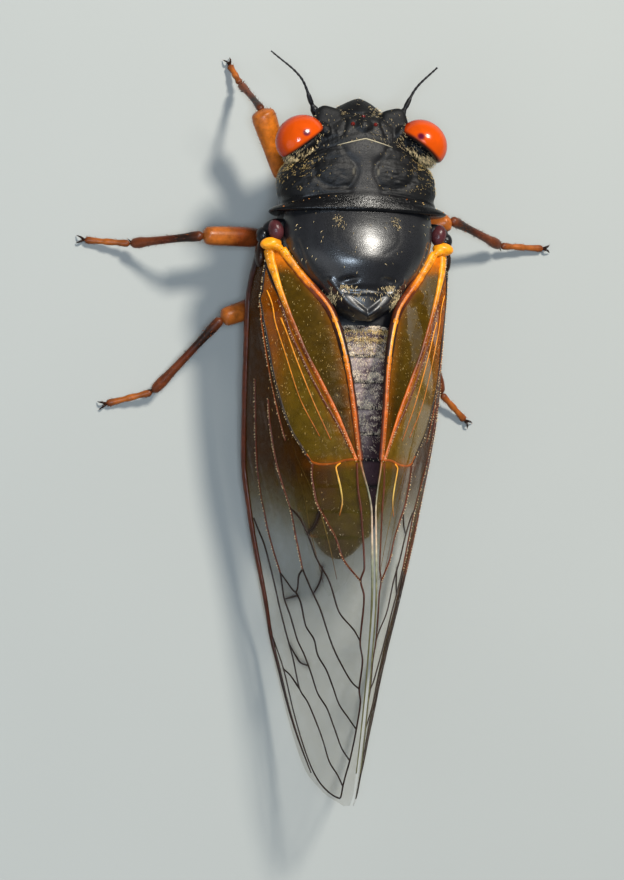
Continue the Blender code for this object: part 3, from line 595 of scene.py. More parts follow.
def mounds(points, forms):
    """Soft mounds on the plane of the back, the same on both sides."""
    total = 0.0
    x, y, _ = folded(points)
    for centre, half_sizes, turn, height in forms:
        c, s = math.cos(turn), math.sin(turn)
        across, along = x - centre[0], y - centre[1]
        u, v = (across * c + along * s) / half_sizes[0], (along * c - across * s) / half_sizes[1]
        total = total + height * np.exp(-((u * u + v * v) ** 1.5))
    return total


def furrows(points, lines):
    """Furrows along lines on the back, the same on both sides."""
    return sum(-depth * bell(beside(points, line), width) for line, width, depth in lines)


def add_balls(table, sides=(LEFT, RIGHT)):
    """Rounded forms on the given sides, from their centre, half sizes, turn and squareness."""
    forms = []
    for side in sides:
        for name, (centre, sizes, turn, boxy) in table.items():
            forms.append(add_mesh(name, *ball(mirrored(centre, side), sizes, side * turn, boxy=boxy)))
    return forms


EYE_TURN = math.radians(37)
LEDGE_TURN = math.radians(14)

# Forms fused with the head's capsule: centre, half sizes, turn, and squareness, which above 1 makes a peak
HEAD_MIDDLE_FORMS = {
    "clypeus": ((0.0, 1.65, 5.9), (2.0, 1.8, 2.6), 0.0, 1.25),
    "forehead": ((0.0, 1.5, 6.9), (1.95, 1.74, 1.3), 0.0, 1.35),
    "vertex": ((0.0, 1.75, 7.5), (1.7, 1.0, 0.78), 0.0, 0.8),
}
HEAD_SIDE_FORMS = {
    "ledge": ((1.96, 1.27, 7.5), (0.82, 0.88, 0.46), -LEDGE_TURN, 0.6),
    "orbit": ((3.35, 2.75, 7.1), (1.35, 0.55, 1.2), EYE_TURN, 1.0),
    "cheek": ((2.2, 1.85, 7.45), (0.5, 0.75, 0.78), EYE_TURN, 1.0),
}
OCELLI = ((0.0, 0.98, 8.06), (0.67, 1.42, 8.22))
OCELLUS_RADIUS = 0.12
HEAD_VOXEL = 0.06

# Furrows on the back of each plate: line, half width and depth
HEAD_FURROWS = (
    (((0.0, 0.8), (0.6, 0.72), (1.1, 0.55), (1.28, 0.1)), 0.08, 0.1),
    (((1.1, 0.7), (1.06, 1.2), (1.3, 2.0)), 0.13, 0.06),
    (((0.0, 1.4), (0.0, 2.2)), 0.05, 0.03),
    (((0.25, 1.75), (0.8, 1.95), (1.5, 2.15), (2.6, 2.5)), 0.2, 0.04),
)
PRONOTUM_FURROWS = (
    (((1.4, 2.75), (1.1, 3.2), (0.62, 3.8), (0.53, 4.15), (0.65, 4.6), (0.98, 5.1)), 0.14, 0.07),
    (((0.62, 3.62), (1.6, 3.5), (2.6, 3.6), (3.7, 4.0)), 0.26, 0.06),
    (((1.05, 5.1), (1.9, 5.1), (2.6, 4.8), (2.9, 4.3), (2.95, 3.8)), 0.2, 0.08),
    (((0.9, 5.4), (2.2, 5.48), (3.6, 5.78), (4.9, 6.1)), 0.08, 0.06),
    (((3.0, 4.5), (3.7, 4.4), (4.4, 4.75)), 0.16, 0.04),
)
MESONOTUM_FURROWS = (
    (((1.8, 6.9), (1.85, 8.0), (1.4, 8.7), (0.9, 9.0)), 0.12, 0.009),
    (((2.9, 7.0), (3.1, 8.4), (2.7, 9.6)), 0.2, 0.008),
    (((3.9, 8.2), (3.3, 9.8), (2.5, 10.9)), 0.1, 0.05),
)

# Mounds and pits of the plates: centre, half sizes, turn and height
PRONOTUM_MOUNDS = (
    ((2.05, 4.25), (0.9, 0.6), 0.25, 0.07),
    ((3.75, 5.0), (0.9, 0.65), 0.1, 0.08),
    ((0.0, 5.0), (0.8, 0.7), 0.0, 0.04),
)
SHIELD_PITS = (((1.15, 10.5), (0.45, 0.2), 0.2, -0.2),)
SHIELD_SIDES = ((2.1, 10.45), (1.72, 10.9), (1.1, 11.7), (0.0, 12.42))
SHIELD_BAR = ((0.0, 11.2), (0.88, 11.25), (1.3, 11.15))
WAIST_RIMS = ((0.66, 3.95), (0.72, 4.2), (0.66, 4.45))


def head_rows(points, y):
    return bowed_back(points, FRONT_BOW * (y - HEAD_SECTIONS[0][0]) / 2.2, HEAD_SECTIONS[-1][1])


def head_relief(points, normals):
    """Furrows round the clypeus, beside the ledges and between the ocelli, and ridges across the face."""
    x, y, z = folded(points)
    back = fade(z, 7.3, 7.9)
    rough_area = back * fade(x, 0.9, 1.6) * fade(y, 1.3, 1.8)
    relief = back * furrows(points, HEAD_FURROWS)
    relief += 0.012 * rough_area * (ripple(points, 0.22, 4) + ripple(points, 0.13, 5))
    face = fade(-normals[:, 1], 0.35, 0.8) * fade(7.0 - z, 0.0, 0.5) * fade(z, 3.9, 4.5)
    ridged = fade(x, 0.28, 0.42) * fade(1.75 - x, 0.0, 0.5)
    relief += 0.05 * face * (ridged * np.sin((z - 0.35 * x) * 2 * math.pi / 0.36) - bell(x, 0.2))
    return relief + 0.006 * ripple(points, 0.8, 3)


def build_head(shell):
    capsule = loft("capsule", HEAD_SECTIONS, 0.1, head_rows, 120)
    forms = [capsule] + add_balls(HEAD_MIDDLE_FORMS, (LEFT,)) + add_balls(HEAD_SIDE_FORMS)
    head = fused("head_capsule", forms, HEAD_VOXEL, 4)
    carve(head, head_relief)
    points = places_of(head)
    x, y, _ = folded(points)
    paint(head, tinted(points, DEEP_BLACK, 0.42 + 0.12 * fade(x, 1.1, 1.4) * fade(1.9 - y, 0.0, 0.3)))
    return finish_piece(head, shell, "shell_black", "head")


def build_ocelli(eye):
    forms = Forms()
    for centre in (OCELLI[0], OCELLI[1], mirrored(OCELLI[1], RIGHT)):
        forms.add(*ball(centre, (OCELLUS_RADIUS,) * 3, rings=12, sides=20), OCELLUS_RED, 0.12)
    return finish_piece(forms.piece("ocelli"), eye, "eye_red")


# Eyes
EYE_CENTRE = (3.63, 2.35, 7.7)
EYE_HALF_SIZES = (1.5, 1.35, 1.25)
EYE_BACK_DEPTH = 0.27
EYE_BACK_STEEPNESS = 3.0
# Painted dark reflection spot on each eye: its direction from the eye's middle, and its size on the unit eye
EYE_REFLECTION_SPOTS = {LEFT: (-0.12, -0.12, 1.0), RIGHT: (0.36, 0.02, 1.0)}
EYE_REFLECTION_RADIUS = 0.2


def build_eye(side, eye):
    """Eye with a straight edge against the head, a small painted dark reflection spot on its top, painted
    shade below.
    """
    points, faces = ball((0, 0, 0), (1, 1, 1), rings=64, sides=96)
    flattened = EYE_BACK_DEPTH * np.tanh(EYE_BACK_STEEPNESS * points[:, 1])
    points[:, 1] = np.where(points[:, 1] > 0, flattened, points[:, 1])
    _, y, z = points.T
    from_reflection = np.linalg.norm(points - unit(np.array(EYE_REFLECTION_SPOTS[side])), axis=1)
    # Dark: the painted reflection spot, and painted shade over the eye's underside
    dark = np.maximum(fade(from_reflection, EYE_REFLECTION_RADIUS, EYE_REFLECTION_RADIUS * 0.4), 0.7 * fade(-z, 0.1, 0.6))
    # Painted shade: the red deepens everywhere below the top of the eye
    red = blend(EYE_RED, EYE_SHADE_RED, 0.8 * fade(0.75 - z, 0.0, 0.65))
    colour = blend(blend(red, EYE_REFLECTION_AND_SHADE, dark), BLACK, fade(y, 0.1, EYE_BACK_DEPTH))
    spin = np.array(Matrix.Rotation(side * EYE_TURN, 3, "Z"))
    placed = (points * np.array(EYE_HALF_SIZES)) @ spin.T + np.array(mirrored(EYE_CENTRE, side))
    made = one_form("compound_eye_" + SIDE_NAMES[side], placed, faces, colour, 0.16)
    return finish_piece(made, eye, "eye_red", "eye_" + SIDE_NAMES[side])


def pronotum_rows(points, y):
    """The front edge is peaked in the middle and runs back on each side; the collar's edge is straight."""
    front, back = PRONOTUM_SECTIONS[0][0], PRONOTUM_SECTIONS[-1][0]
    share = np.clip((back - y) / (back - front), 0, 1)
    return bowed_back(points, FRONT_EDGE_BOW * share, PRONOTUM_SECTIONS[2][1], 1.1 + 0.4 * (1 - share))


def pronotum_relief(points, normals):
    """Hour-glass middle field, soft lobes with furrows between them, and the smooth collar."""
    x, y, z = folded(points)
    relief = furrows(points, PRONOTUM_FURROWS) + mounds(points, PRONOTUM_MOUNDS)
    relief += 0.08 * bell(x, 1.2) * fade(y, 5.1, 5.6)
    lobes = fade(x, 0.8, 1.5) * fade(5.5 - y, 0.0, 0.4)
    around_lobe = np.hypot((x - 2.0) * 0.6 + 0.25 * ripple(points, 1.4, 15), y - 4.6)
    waves = np.sin(around_lobe * 2 * math.pi / 0.2 + 1.6 * ripple(points, 0.8, 14))
    relief += 0.008 * bell(around_lobe, 0.9) * waves
    relief += lobes * (0.018 * ripple(points, 0.35, 11) + 0.011 * ripple(points, 0.16, 13))
    return fade(z, 5.6, 7.4) * relief + 0.005 * ripple(points, 0.9, 12)


def pronotum_colours(points):
    """Matt black lobes, a smoother dark grey middle field and collar, and pale rims at the field's waist."""
    x, y, _ = folded(points)
    middle = np.interp(y, (2.4, 3.2, 4.0, 4.4, 5.2, 5.6), (1.45, 1.1, 0.55, 0.55, 1.0, 1.5))
    field = fade(middle - x, -0.1, 0.15) * fade(5.6 - y, 0.0, 0.2)
    colour = blend(DEEP_BLACK, DARK_GREY, field)
    colour = blend(colour, CREAM, 0.12 * fade(beside(points, WAIST_RIMS, 0.05), 0.07, 0.02))
    return tinted(points, colour, 0.45 - 0.25 * fade(y, 5.5, 5.7) - 0.03 * field)


def build_pronotum(shell):
    plate = loft("pronotum_plate", PRONOTUM_SECTIONS, BODY_SPACING * 0.6, pronotum_rows)
    carve(plate, pronotum_relief)
    paint(plate, pronotum_colours(places_of(plate)))
    return finish_piece(plate, shell, "shell_black", "pronotum")


# Pale line along the middle of the first back plate's front edge, and the row of dots before its collar
FRONT_LINE_REACH = 0.42
FRONT_LINE_RADIUS = 0.04
FRONT_LINE_COLOUR = (0.45, 0.38, 0.25)
COLLAR_DOTS = ((0.25, 5.5), (2.0, 5.62), (3.8, 5.95), (4.9, 6.28))
COLLAR_DOT_SPACING = 0.27
COLLAR_DOT_RADIUS = 0.035
COLLAR_DOTS_KEPT = 0.5


def build_plate_trim(horn):
    """The pale front line and the tiny red and gold dots of the first back plate."""
    forms = Forms()
    angles = np.linspace(-FRONT_LINE_REACH, FRONT_LINE_REACH, 80)
    y = np.full(len(angles), PRONOTUM_SECTIONS[0][0])
    line = pronotum_rows(body_point(PRONOTUM_SECTIONS, y, angles), y) + (0, -0.01, 0.01)
    taper = np.sqrt(np.clip(1.02 - np.abs(np.linspace(-1, 1, len(line))), 0.02, 1))
    forms.add(*tube(line, FRONT_LINE_RADIUS * taper, 10), FRONT_LINE_COLOUR, 0.4)
    draw = np.random.default_rng(51)
    for x, y in route(COLLAR_DOTS, COLLAR_DOT_SPACING):
        for side in (LEFT, RIGHT):
            x_there, y_there = side * x + draw.normal(0, 0.09), y + draw.normal(0, 0.04)
            if draw.random() > COLLAR_DOTS_KEPT:
                continue
            place = (x_there, y_there, surface_height(PRONOTUM_SECTIONS, x_there, y_there) - 0.02)
            size = COLLAR_DOT_RADIUS * draw.uniform(0.6, 1.1)
            colour = blend(GOLD, ORANGE, draw.random())
            forms.add(*ball(place, (size, size, size), rings=6, sides=8), colour, 0.3)
    return finish_piece(forms.piece("pronotum_trim"), horn, "shell_black")


def surface_height(sections, x, y):
    """Height of a body piece's back over a place."""
    half, _, waist, top = smooth(sections, y)
    across = min(abs(x) / half, 0.999) ** BODY_SQUARENESS
    return waist + (top - waist) * (1 - across) ** (1 / BODY_SQUARENESS)


def mesonotum_relief(points, normals):
    """Shield-shaped ridge at the back of the big back plate, its bar, the pits before it and faint marks."""
    x, y, z = folded(points)
    relief = 0.15 * bell(beside(points, SHIELD_SIDES), 0.15) + 0.1 * bell(beside(points, SHIELD_BAR), 0.07)
    relief -= 0.13 * fade(1.72 - x - 1.13 * (y - 10.9), 0.0, 0.25) * fade(y, 10.7, 11.0)
    relief += mounds(points, SHIELD_PITS) + 0.09 * bell(x, 1.7) * fade(10.6 - y, 0.0, 1.5)
    relief += furrows(points, MESONOTUM_FURROWS)
    return fade(z, 7.4, 8.2) * relief + 0.005 * ripple(points, 1.2, 21)


# Covers of the sound organs, and the rounded plate in front of each wing root
THORAX_SIDE_FORMS = {
    "operculum": ((1.7, 12.9, 2.2), (1.25, 1.3, 0.42), 0.0, 0.8),
    "lobe": ((4.75, 7.3, 6.6), (0.8, 0.45, 0.55), 0.2, 1.0),
}
PLEURA_FURROWS = (8.6, 10.9)


def pleura_relief(points, normals):
    """Slanting furrows between the side plates."""
    _, y, z = points.T
    depth = sum(0.14 * bell((y - place) - 0.3 * (z - 4), 0.16) for place in PLEURA_FURROWS)
    return 0.02 * ripple(points, 1.0, 22) - fade(-normals[:, 2], -0.8, -0.2) * depth


def build_thorax(polished, shell):
    plate = loft("mesonotum_plate", MESONOTUM_SECTIONS, BODY_SPACING)
    carve(plate, mesonotum_relief)
    points = places_of(plate)
    x, y, _ = folded(points)
    paint(plate, tinted(points, BLACK, 0.27 + 0.1 * fade(y, 10.9, 11.4) + 0.05 * fade(x, 2.4, 3.4)))
    finish_piece(plate, polished, "shell_black", "thorax")
    pleura = loft("pleura", PLEURA_SECTIONS, BODY_SPACING * 1.5, sides=160)
    lower = fused("pleura_plates", [pleura] + add_balls(THORAX_SIDE_FORMS), HEAD_VOXEL * 1.3, 3)
    carve(lower, pleura_relief)
    paint(lower, tinted(places_of(lower), BLACK, 0.4))
    finish_piece(lower, shell, "shell_black", "thorax")
    return plate


TERGITES = 8
TERGITE_STEP = 0.16
LAST_RING_FROM = 25.0
ABDOMEN_AXIS_Z = 4.5


def tergite_share(y):
    first = ABDOMEN_SECTIONS[1][0]
    return (y - first) / (LAST_RING_FROM - first) * TERGITES


def abdomen_rows(points, y):
    """Each ring of the abdomen swells a little and steps down at its hind edge."""
    share = tergite_share(y)
    swell = np.where((share < TERGITES) & (share > 0), TERGITE_STEP * (share % 1.0) ** 0.7, 0.0)
    away = points - np.stack([0 * y, y, ABDOMEN_AXIS_Z + 0 * y], axis=-1)
    length = np.maximum(np.linalg.norm(away, axis=-1), 0.1)[..., None]
    return points + away / length * swell[..., None]


def abdomen_colours(points):
    """Silver grey tops, partly a painted sheen, darkening to purple black, black seams, orange hind edges
    below.
    """
    x, y, z = points.T
    share = tergite_share(y) % 1.0
    seam = fade(np.minimum(share, 1 - share), 0.1, 0.03)
    middle = fade(1.6 - 0.1 * (y - 14.0) - np.abs(x + 0.2), 0.0, 0.9)
    # Lightened top of the front rings: partly the silver hairs' colour, partly a painted sheen
    above = middle * fade(z, 5.0, 6.0) * fade(y, 13.7, 14.2) * fade(20.5 - y, -2.5, 3.5)
    patches = np.clip(0.5 + 0.35 * ripple(points, 1.1, 24) + 0.45 * ripple(points, 0.24, 25), 0, 1)
    colour = blend(blend(PURPLE_BLACK, RING_SILVER_AND_SHEEN, above * patches), BLACK, 0.85 * seam)
    colour = blend(colour, AMBER, 0.8 * fade(share, 0.82, 0.95) * fade(4.4 - z, 0.0, 0.8))
    return tinted(points, colour, 0.27)


def build_abdomen(shell):
    rings = loft("abdomen_rings", ABDOMEN_SECTIONS, BODY_SPACING, abdomen_rows, 200)
    paint(rings, abdomen_colours(places_of(rings)))
    return finish_piece(rings, shell, "shell_black", "abdomen")


# Forewing sections: Y, inner edge X and Z, outer edge X and Z, outward pull of the bow between them
WING_SECTIONS = (
    (8.6, 4.60, 7.3, 5.70, 5.90, 0.4),
    (10.2, 3.45, 7.9, 5.85, 4.70, 1.9),
    (12.3, 1.95, 8.7, 5.95, 4.20, 2.6),
    (15.0, 1.30, 9.4, 5.90, 3.60, 2.9),
    (18.0, 0.95, 10.0, 5.80, 3.00, 2.7),
    (20.6, 0.65, 10.3, 5.60, 2.50, 2.3),
    (23.7, 0.20, 10.9, 5.20, 1.95, 1.8),
    (28.0, 0.15, 11.1, 4.35, 1.50, 1.3),
    (32.0, 0.15, 10.3, 3.40, 1.20, 0.9),
    (36.0, 0.15, 9.0, 2.45, 1.65, 0.5),
    (38.5, 0.15, 8.0, 1.75, 2.55, 0.25),
    (39.8, 0.15, 7.4, 1.05, 4.20, 0.1),
    (40.4, 0.20, 6.7, 0.45, 6.00, 0.0),
)
MEMBRANE_DEPTH = 0.12
MEMBRANE_THICKNESS = 0.05
MIDLINE_CLEARANCE = 0.12
HINDWING_DEPTH = 1.05
VEIN_SIDES = 10
WIDTH_STEPS = 17

# Grids of the two wings' skins: spacing of the rows, columns, and height of the skin's waves
FOREWING_GRID = (0.11, 90, 0.025)
HINDWING_GRID = (0.16, 40, 0.05)

# Kinds of vein, and of dark strips of painted shade beside two veins: half widths and colours, evenly spaced
# from the root to the tip
VEIN_KINDS = {
    "edge": (
        (0.27, 0.21, 0.19, 0.16, 0.14, 0.12),
        (YELLOW_ORANGE, ORANGE, YELLOW_ORANGE, ORANGE, ORANGE, AMBER),
    ),
    "shadow": (
        (0.3, 0.29, 0.27, 0.23, 0.2, 0.18),
        (AMBER, RED_BROWN, DARK_BROWN, DARK_BROWN, RED_BROWN, RED_BROWN),
    ),
    "claval": (
        (0.34, 0.2, 0.15, 0.12, 0.13, 0.12, 0.1),
        (YELLOW_ORANGE, YELLOW_ORANGE, AMBER, RED_BROWN, ORANGE, ORANGE, ORANGE),
    ),
    # Painted shade: a dark strip sunk beside the claval vein
    "claval_shade": ((0.2, 0.12, 0.07), (BLACK, DARK_BROWN, DARK_BROWN)),
    "node": ((0.08, 0.06, 0.07), (AMBER, AMBER, AMBER)),
    "dotted": ((0.1, 0.085, 0.08), (DARK_BROWN, BLACK, DARK_BROWN)),
    "amber": ((0.06, 0.05), (ORANGE, RED_BROWN)),
    "fine": ((0.045, 0.03), (YELLOW_ORANGE, AMBER)),
    "brown": ((0.075, 0.065), (RED_BROWN, RED_BROWN)),
    "dark": ((0.07, 0.055), (DARK_BROWN, DARK_BROWN)),
    "heavy": ((0.05, 0.07, 0.045), (DARK_BROWN, DARK_BROWN)),
    "costal": (
        (0.28, 0.28, 0.25, 0.2, 0.13, 0.05),
        (BLACK, RED_BROWN, RED_BROWN, RED_BROWN, DARK_BROWN, DARK_BROWN),
    ),
    "rim": ((0.07, 0.06, 0.055), (RED_BROWN, DARK_BROWN, DARK_BROWN)),
    # The inner margin: amber at the node, then a painted silver sheen and a painted pink highlight, then
    # olive
    "margin": (
        (0.06, 0.05, 0.06, 0.09, 0.07, 0.06, 0.05, 0.05, 0.04, 0.04),
        (AMBER, SILVER_SHEEN_GREY, PINK_HIGHLIGHT, SILVER_SHEEN_GREY, OLIVE, OLIVE, OLIVE, OLIVE, OLIVE, OLIVE),
    ),
    "hook": ((0.05, 0.055, 0.035), (YELLOW_ORANGE, PALE_YELLOW, AMBER)),
    "seen_through": ((0.045, 0.02), (PALE_YELLOW, RED_BROWN)),
}
SUNK_VEINS = {"shadow": 0.06, "claval_shade": 0.05}
VEIN_FLATNESS = 0.65
BEADED = ("edge", "dotted", "claval", "brown", "amber")
BEAD_SPACING = 0.16
BEADS_KEPT = 0.75
WING_FLECKS = 430

# Places and shares of the claval and dotted veins, which bound the membrane's inner and middle fields
CLAVAL_PLACES = (8.6, 10, 12.3, 14, 16, 18, 20.8)
CLAVAL_SHARES = (0.48, 0.35, 0.37, 0.297, 0.2, 0.114, 0.02)
MIDDLE_PLACES = (8.6, 10, 11.6, 13, 15, 17, 19, 20.0, 21.0)
MIDDLE_SHARES = (0.5, 0.55, 0.7, 0.664, 0.596, 0.528, 0.446, 0.38, 0.32)

# Forewing veins: kind, then the route as place along Y and share of the way from inner to outer edge
FOREWING_VEINS = (
    ("edge", (8.65, 0.0), (12.3, 0.0), (16.0, 0.0), (20.8, 0.01)),
    ("shadow", (9.0, 0.0), (12.3, 0.0), (16.0, 0.0), (20.8, 0.01)),
    ("claval", (8.65, 0.46), (9.3, 0.4), (10.0, 0.35), (12.3, 0.37), (14.0, 0.297), (16.0, 0.2),
     (18.0, 0.114), (20.8, 0.03)),
    ("brown", (11.6, 0.45), (13.0, 0.40), (15.0, 0.30), (17.0, 0.2), (19.0, 0.1), (20.3, 0.05)),
    # Painted shade beside the claval vein
    ("claval_shade", (8.9, 0.56), (9.8, 0.45), (11.0, 0.42), (12.3, 0.41)),
    ("hook", (20.9, 0.13), (21.2, 0.165), (22.0, 0.165), (23.0, 0.17), (23.9, 0.2)),
    ("dotted", (8.8, 0.5), (9.2, 0.53), (10.0, 0.55), (10.9, 0.63), (11.6, 0.7), (13.0, 0.664),
     (15.0, 0.596), (17.0, 0.528), (19.0, 0.446), (20.0, 0.38), (20.95, 0.32)),
    ("amber", (11.7, 0.72), (13.0, 0.697), (15.0, 0.634), (17.0, 0.575), (18.5, 0.535), (19.6, 0.507)),
    ("fine", (11.0, 0.56), (13.0, 0.52), (15.0, 0.43), (17.0, 0.36), (19.4, 0.24)),
    ("fine", (12.6, 0.46), (14.5, 0.37), (17.0, 0.27), (19.6, 0.17)),
    ("margin", (20.6, 0.01), (24.0, 0.0), (30.0, 0.0), (38.5, 0.0)),
    ("node", (20.7, 0.02), (20.75, 0.09), (20.95, 0.17), (21.0, 0.25), (20.85, 0.32), (20.4, 0.352)),
    ("brown", (17.2, 0.64), (18.6, 0.637), (20.0, 0.623), (22.0, 0.592), (24.0, 0.548), (25.0, 0.538),
     (26.9, 0.515)),
    ("dark", (26.9, 0.515), (28.1, 0.46), (29.2, 0.4), (30.4, 0.353), (31.4, 0.305), (32.4, 0.231),
     (33.4, 0.13), (33.7, 0.069)),
    ("dark", (26.9, 0.515), (27.3, 0.557), (28.0, 0.583), (28.2, 0.605), (28.1, 0.628), (27.7, 0.667),
     (27.1, 0.727)),
    ("brown", (16.0, 0.8), (19.0, 0.807), (21.7, 0.82), (23.04, 0.811), (24.1, 0.797), (25.65, 0.767),
     (27.1, 0.727)),
    ("dark", (27.1, 0.727), (28.3, 0.731), (29.6, 0.69), (30.95, 0.652), (31.8, 0.6), (32.9, 0.55),
     (33.97, 0.506), (34.85, 0.413), (35.95, 0.341), (37.1, 0.254), (37.8, 0.138)),
    ("dark", (28.2, 0.605), (28.75, 0.572), (30.07, 0.55), (31.0, 0.477), (31.7, 0.463), (32.7, 0.382),
     (33.67, 0.326), (34.55, 0.274), (35.4, 0.163), (36.0, 0.072)),
    ("dark", (23.9, 0.931), (24.6, 0.893), (25.5, 0.849), (27.1, 0.817), (28.75, 0.797), (30.4, 0.771),
     (31.7, 0.742), (33.75, 0.722), (34.5, 0.648), (35.66, 0.574), (36.8, 0.513), (37.9, 0.467),
     (38.7, 0.353), (39.3, 0.3)),
    ("heavy", (32.4, 0.582), (32.25, 0.655), (31.9, 0.695), (31.2, 0.75)),
    ("dark", (33.75, 0.725), (32.94, 0.819), (32.57, 0.895)),
    ("brown", (20.95, 0.32), (21.85, 0.345), (23.04, 0.348), (24.2, 0.29), (25.2, 0.235), (26.2, 0.205),
     (27.3, 0.115), (27.6, 0.083)),
    ("heavy", (23.6, 0.33), (24.45, 0.38), (24.8, 0.43)),
    ("dark", (23.4, 0.56), (24.0, 0.49), (24.9, 0.44), (26.3, 0.39), (27.6, 0.31), (29.3, 0.25),
     (30.45, 0.125), (31.0, 0.08)),
    ("heavy", (26.75, 0.35), (27.4, 0.37), (28.15, 0.43), (28.3, 0.45)),
    ("heavy", (28.4, 0.59), (28.6, 0.72)),
    ("rim", (20.9, 0.03), (23.0, 0.064), (26.8, 0.056), (27.6, 0.083), (28.5, 0.062), (31.0, 0.08),
     (32.2, 0.053), (33.7, 0.068), (34.5, 0.048), (36.0, 0.072), (37.8, 0.138), (38.8, 0.225), (39.3, 0.3),
     (39.8, 0.42), (40.0, 0.55), (39.9, 0.7), (39.2, 0.83), (37.0, 0.86), (34.9, 0.88), (32.5, 0.89),
     (30.8, 0.945)),
    ("costal", (8.8, 0.97), (12.0, 0.975), (18.0, 0.975), (24.0, 0.97), (30.0, 0.96), (33.0, 0.95),
     (36.0, 0.93), (38.6, 0.9)),
)
HINDWING_VEINS = (
    ("seen_through", (12.5, 0.53), (14.0, 0.49), (16.0, 0.405), (18.0, 0.333), (20.3, 0.232)),
    ("seen_through", (14.9, 0.34), (16.8, 0.255), (18.2, 0.21), (20.1, 0.178)),
    ("seen_through", (12.0, 0.58), (16.0, 0.56), (20.0, 0.55), (24.0, 0.52), (27.8, 0.46)),
    ("seen_through", (20.0, 0.55), (22.5, 0.45), (25.0, 0.38), (27.6, 0.34)),
)
HINDWING_EDGES = (
    (10.6, 0.46, 0.461),
    (12.0, 0.36, 0.62),
    (15.0, 0.22, 0.68),
    (19.5, 0.13, 0.65),
    (23.5, 0.14, 0.6),
    (26.5, 0.20, 0.53),
    (28.0, 0.30, 0.47),
    (28.6, 0.41, 0.42),
)


def wing_point(y, share):
    """Points of the left forewing's outer face: share 0 is its inner and 1 its outer edge."""
    y, share = np.asarray(y, float), np.asarray(share, float)
    inner_x, inner_z, outer_x, outer_z, bulge = np.moveaxis(smooth(WING_SECTIONS, y), -1, 0)
    run, fall = outer_x - inner_x, outer_z - inner_z
    length = np.hypot(run, fall)
    bow_x = (inner_x + outer_x) / 2 - fall / length * bulge
    bow_z = (inner_z + outer_z) / 2 + run / length * bulge
    a, b, c = (1 - share) ** 2, 2 * share * (1 - share), share**2
    x, z = a * inner_x + b * bow_x + c * outer_x, a * inner_z + b * bow_z + c * outer_z
    return np.stack([x, y + 0 * share, z], axis=-1)


def wing_normal(y, share):
    nudge = 0.02
    along = wing_point(y + nudge, share) - wing_point(y - nudge, share)
    across = wing_point(y, share + nudge) - wing_point(y, share - nudge)
    normal = unit(np.cross(across, along))
    return np.where(normal[..., :1] + normal[..., 2:] < 0, -normal, normal)


def wing_width(y):
    """Length of the wing's arc from its inner to its outer edge."""
    shares = np.linspace(0, 1, WIDTH_STEPS)
    places = wing_point(np.repeat(np.atleast_1d(y)[:, None], WIDTH_STEPS, axis=1), shares)
    return np.linalg.norm(np.diff(places, axis=1), axis=2).sum(axis=1)


def to_flat(pairs):
    """Place and share turned into place and real distance from the inner edge."""
    pairs = np.array(pairs, float).reshape(-1, 2)
    return np.c_[pairs[:, 0], pairs[:, 1] * wing_width(pairs[:, 0])]


def kept_off_midline(points):
    points[..., 0] = np.maximum(points[..., 0], MIDLINE_CLEARANCE)
    return points


# Colours of the forewing's fields and of the hindwing
INNER_FIELD = (0.075, 0.04, 0.003)
INNER_LOW = (0.035, 0.02, 0.002)
MIDDLE_BASE = (0.25, 0.05, 0.001)
MIDDLE_FIELD = (0.15, 0.085, 0.006)
WARM_STRIP = (0.4, 0.1, 0.002)
# Dark brown of the outer field, partly the wing's own tint and partly painted shade of the shadow beneath it
OUTER_FIELD_AND_SHADE = (0.05, 0.016, 0.0006)
BELOW_NODE = (0.1, 0.06, 0.004)
BELOW_MIDDLE = (0.085, 0.03, 0.001)
CLEAR_FIELD = (0.16, 0.115, 0.016)
ROOT_FIELD = (0.62, 0.15, 0.006)
HINDWING_COLOUR = (0.2, 0.14, 0.04)


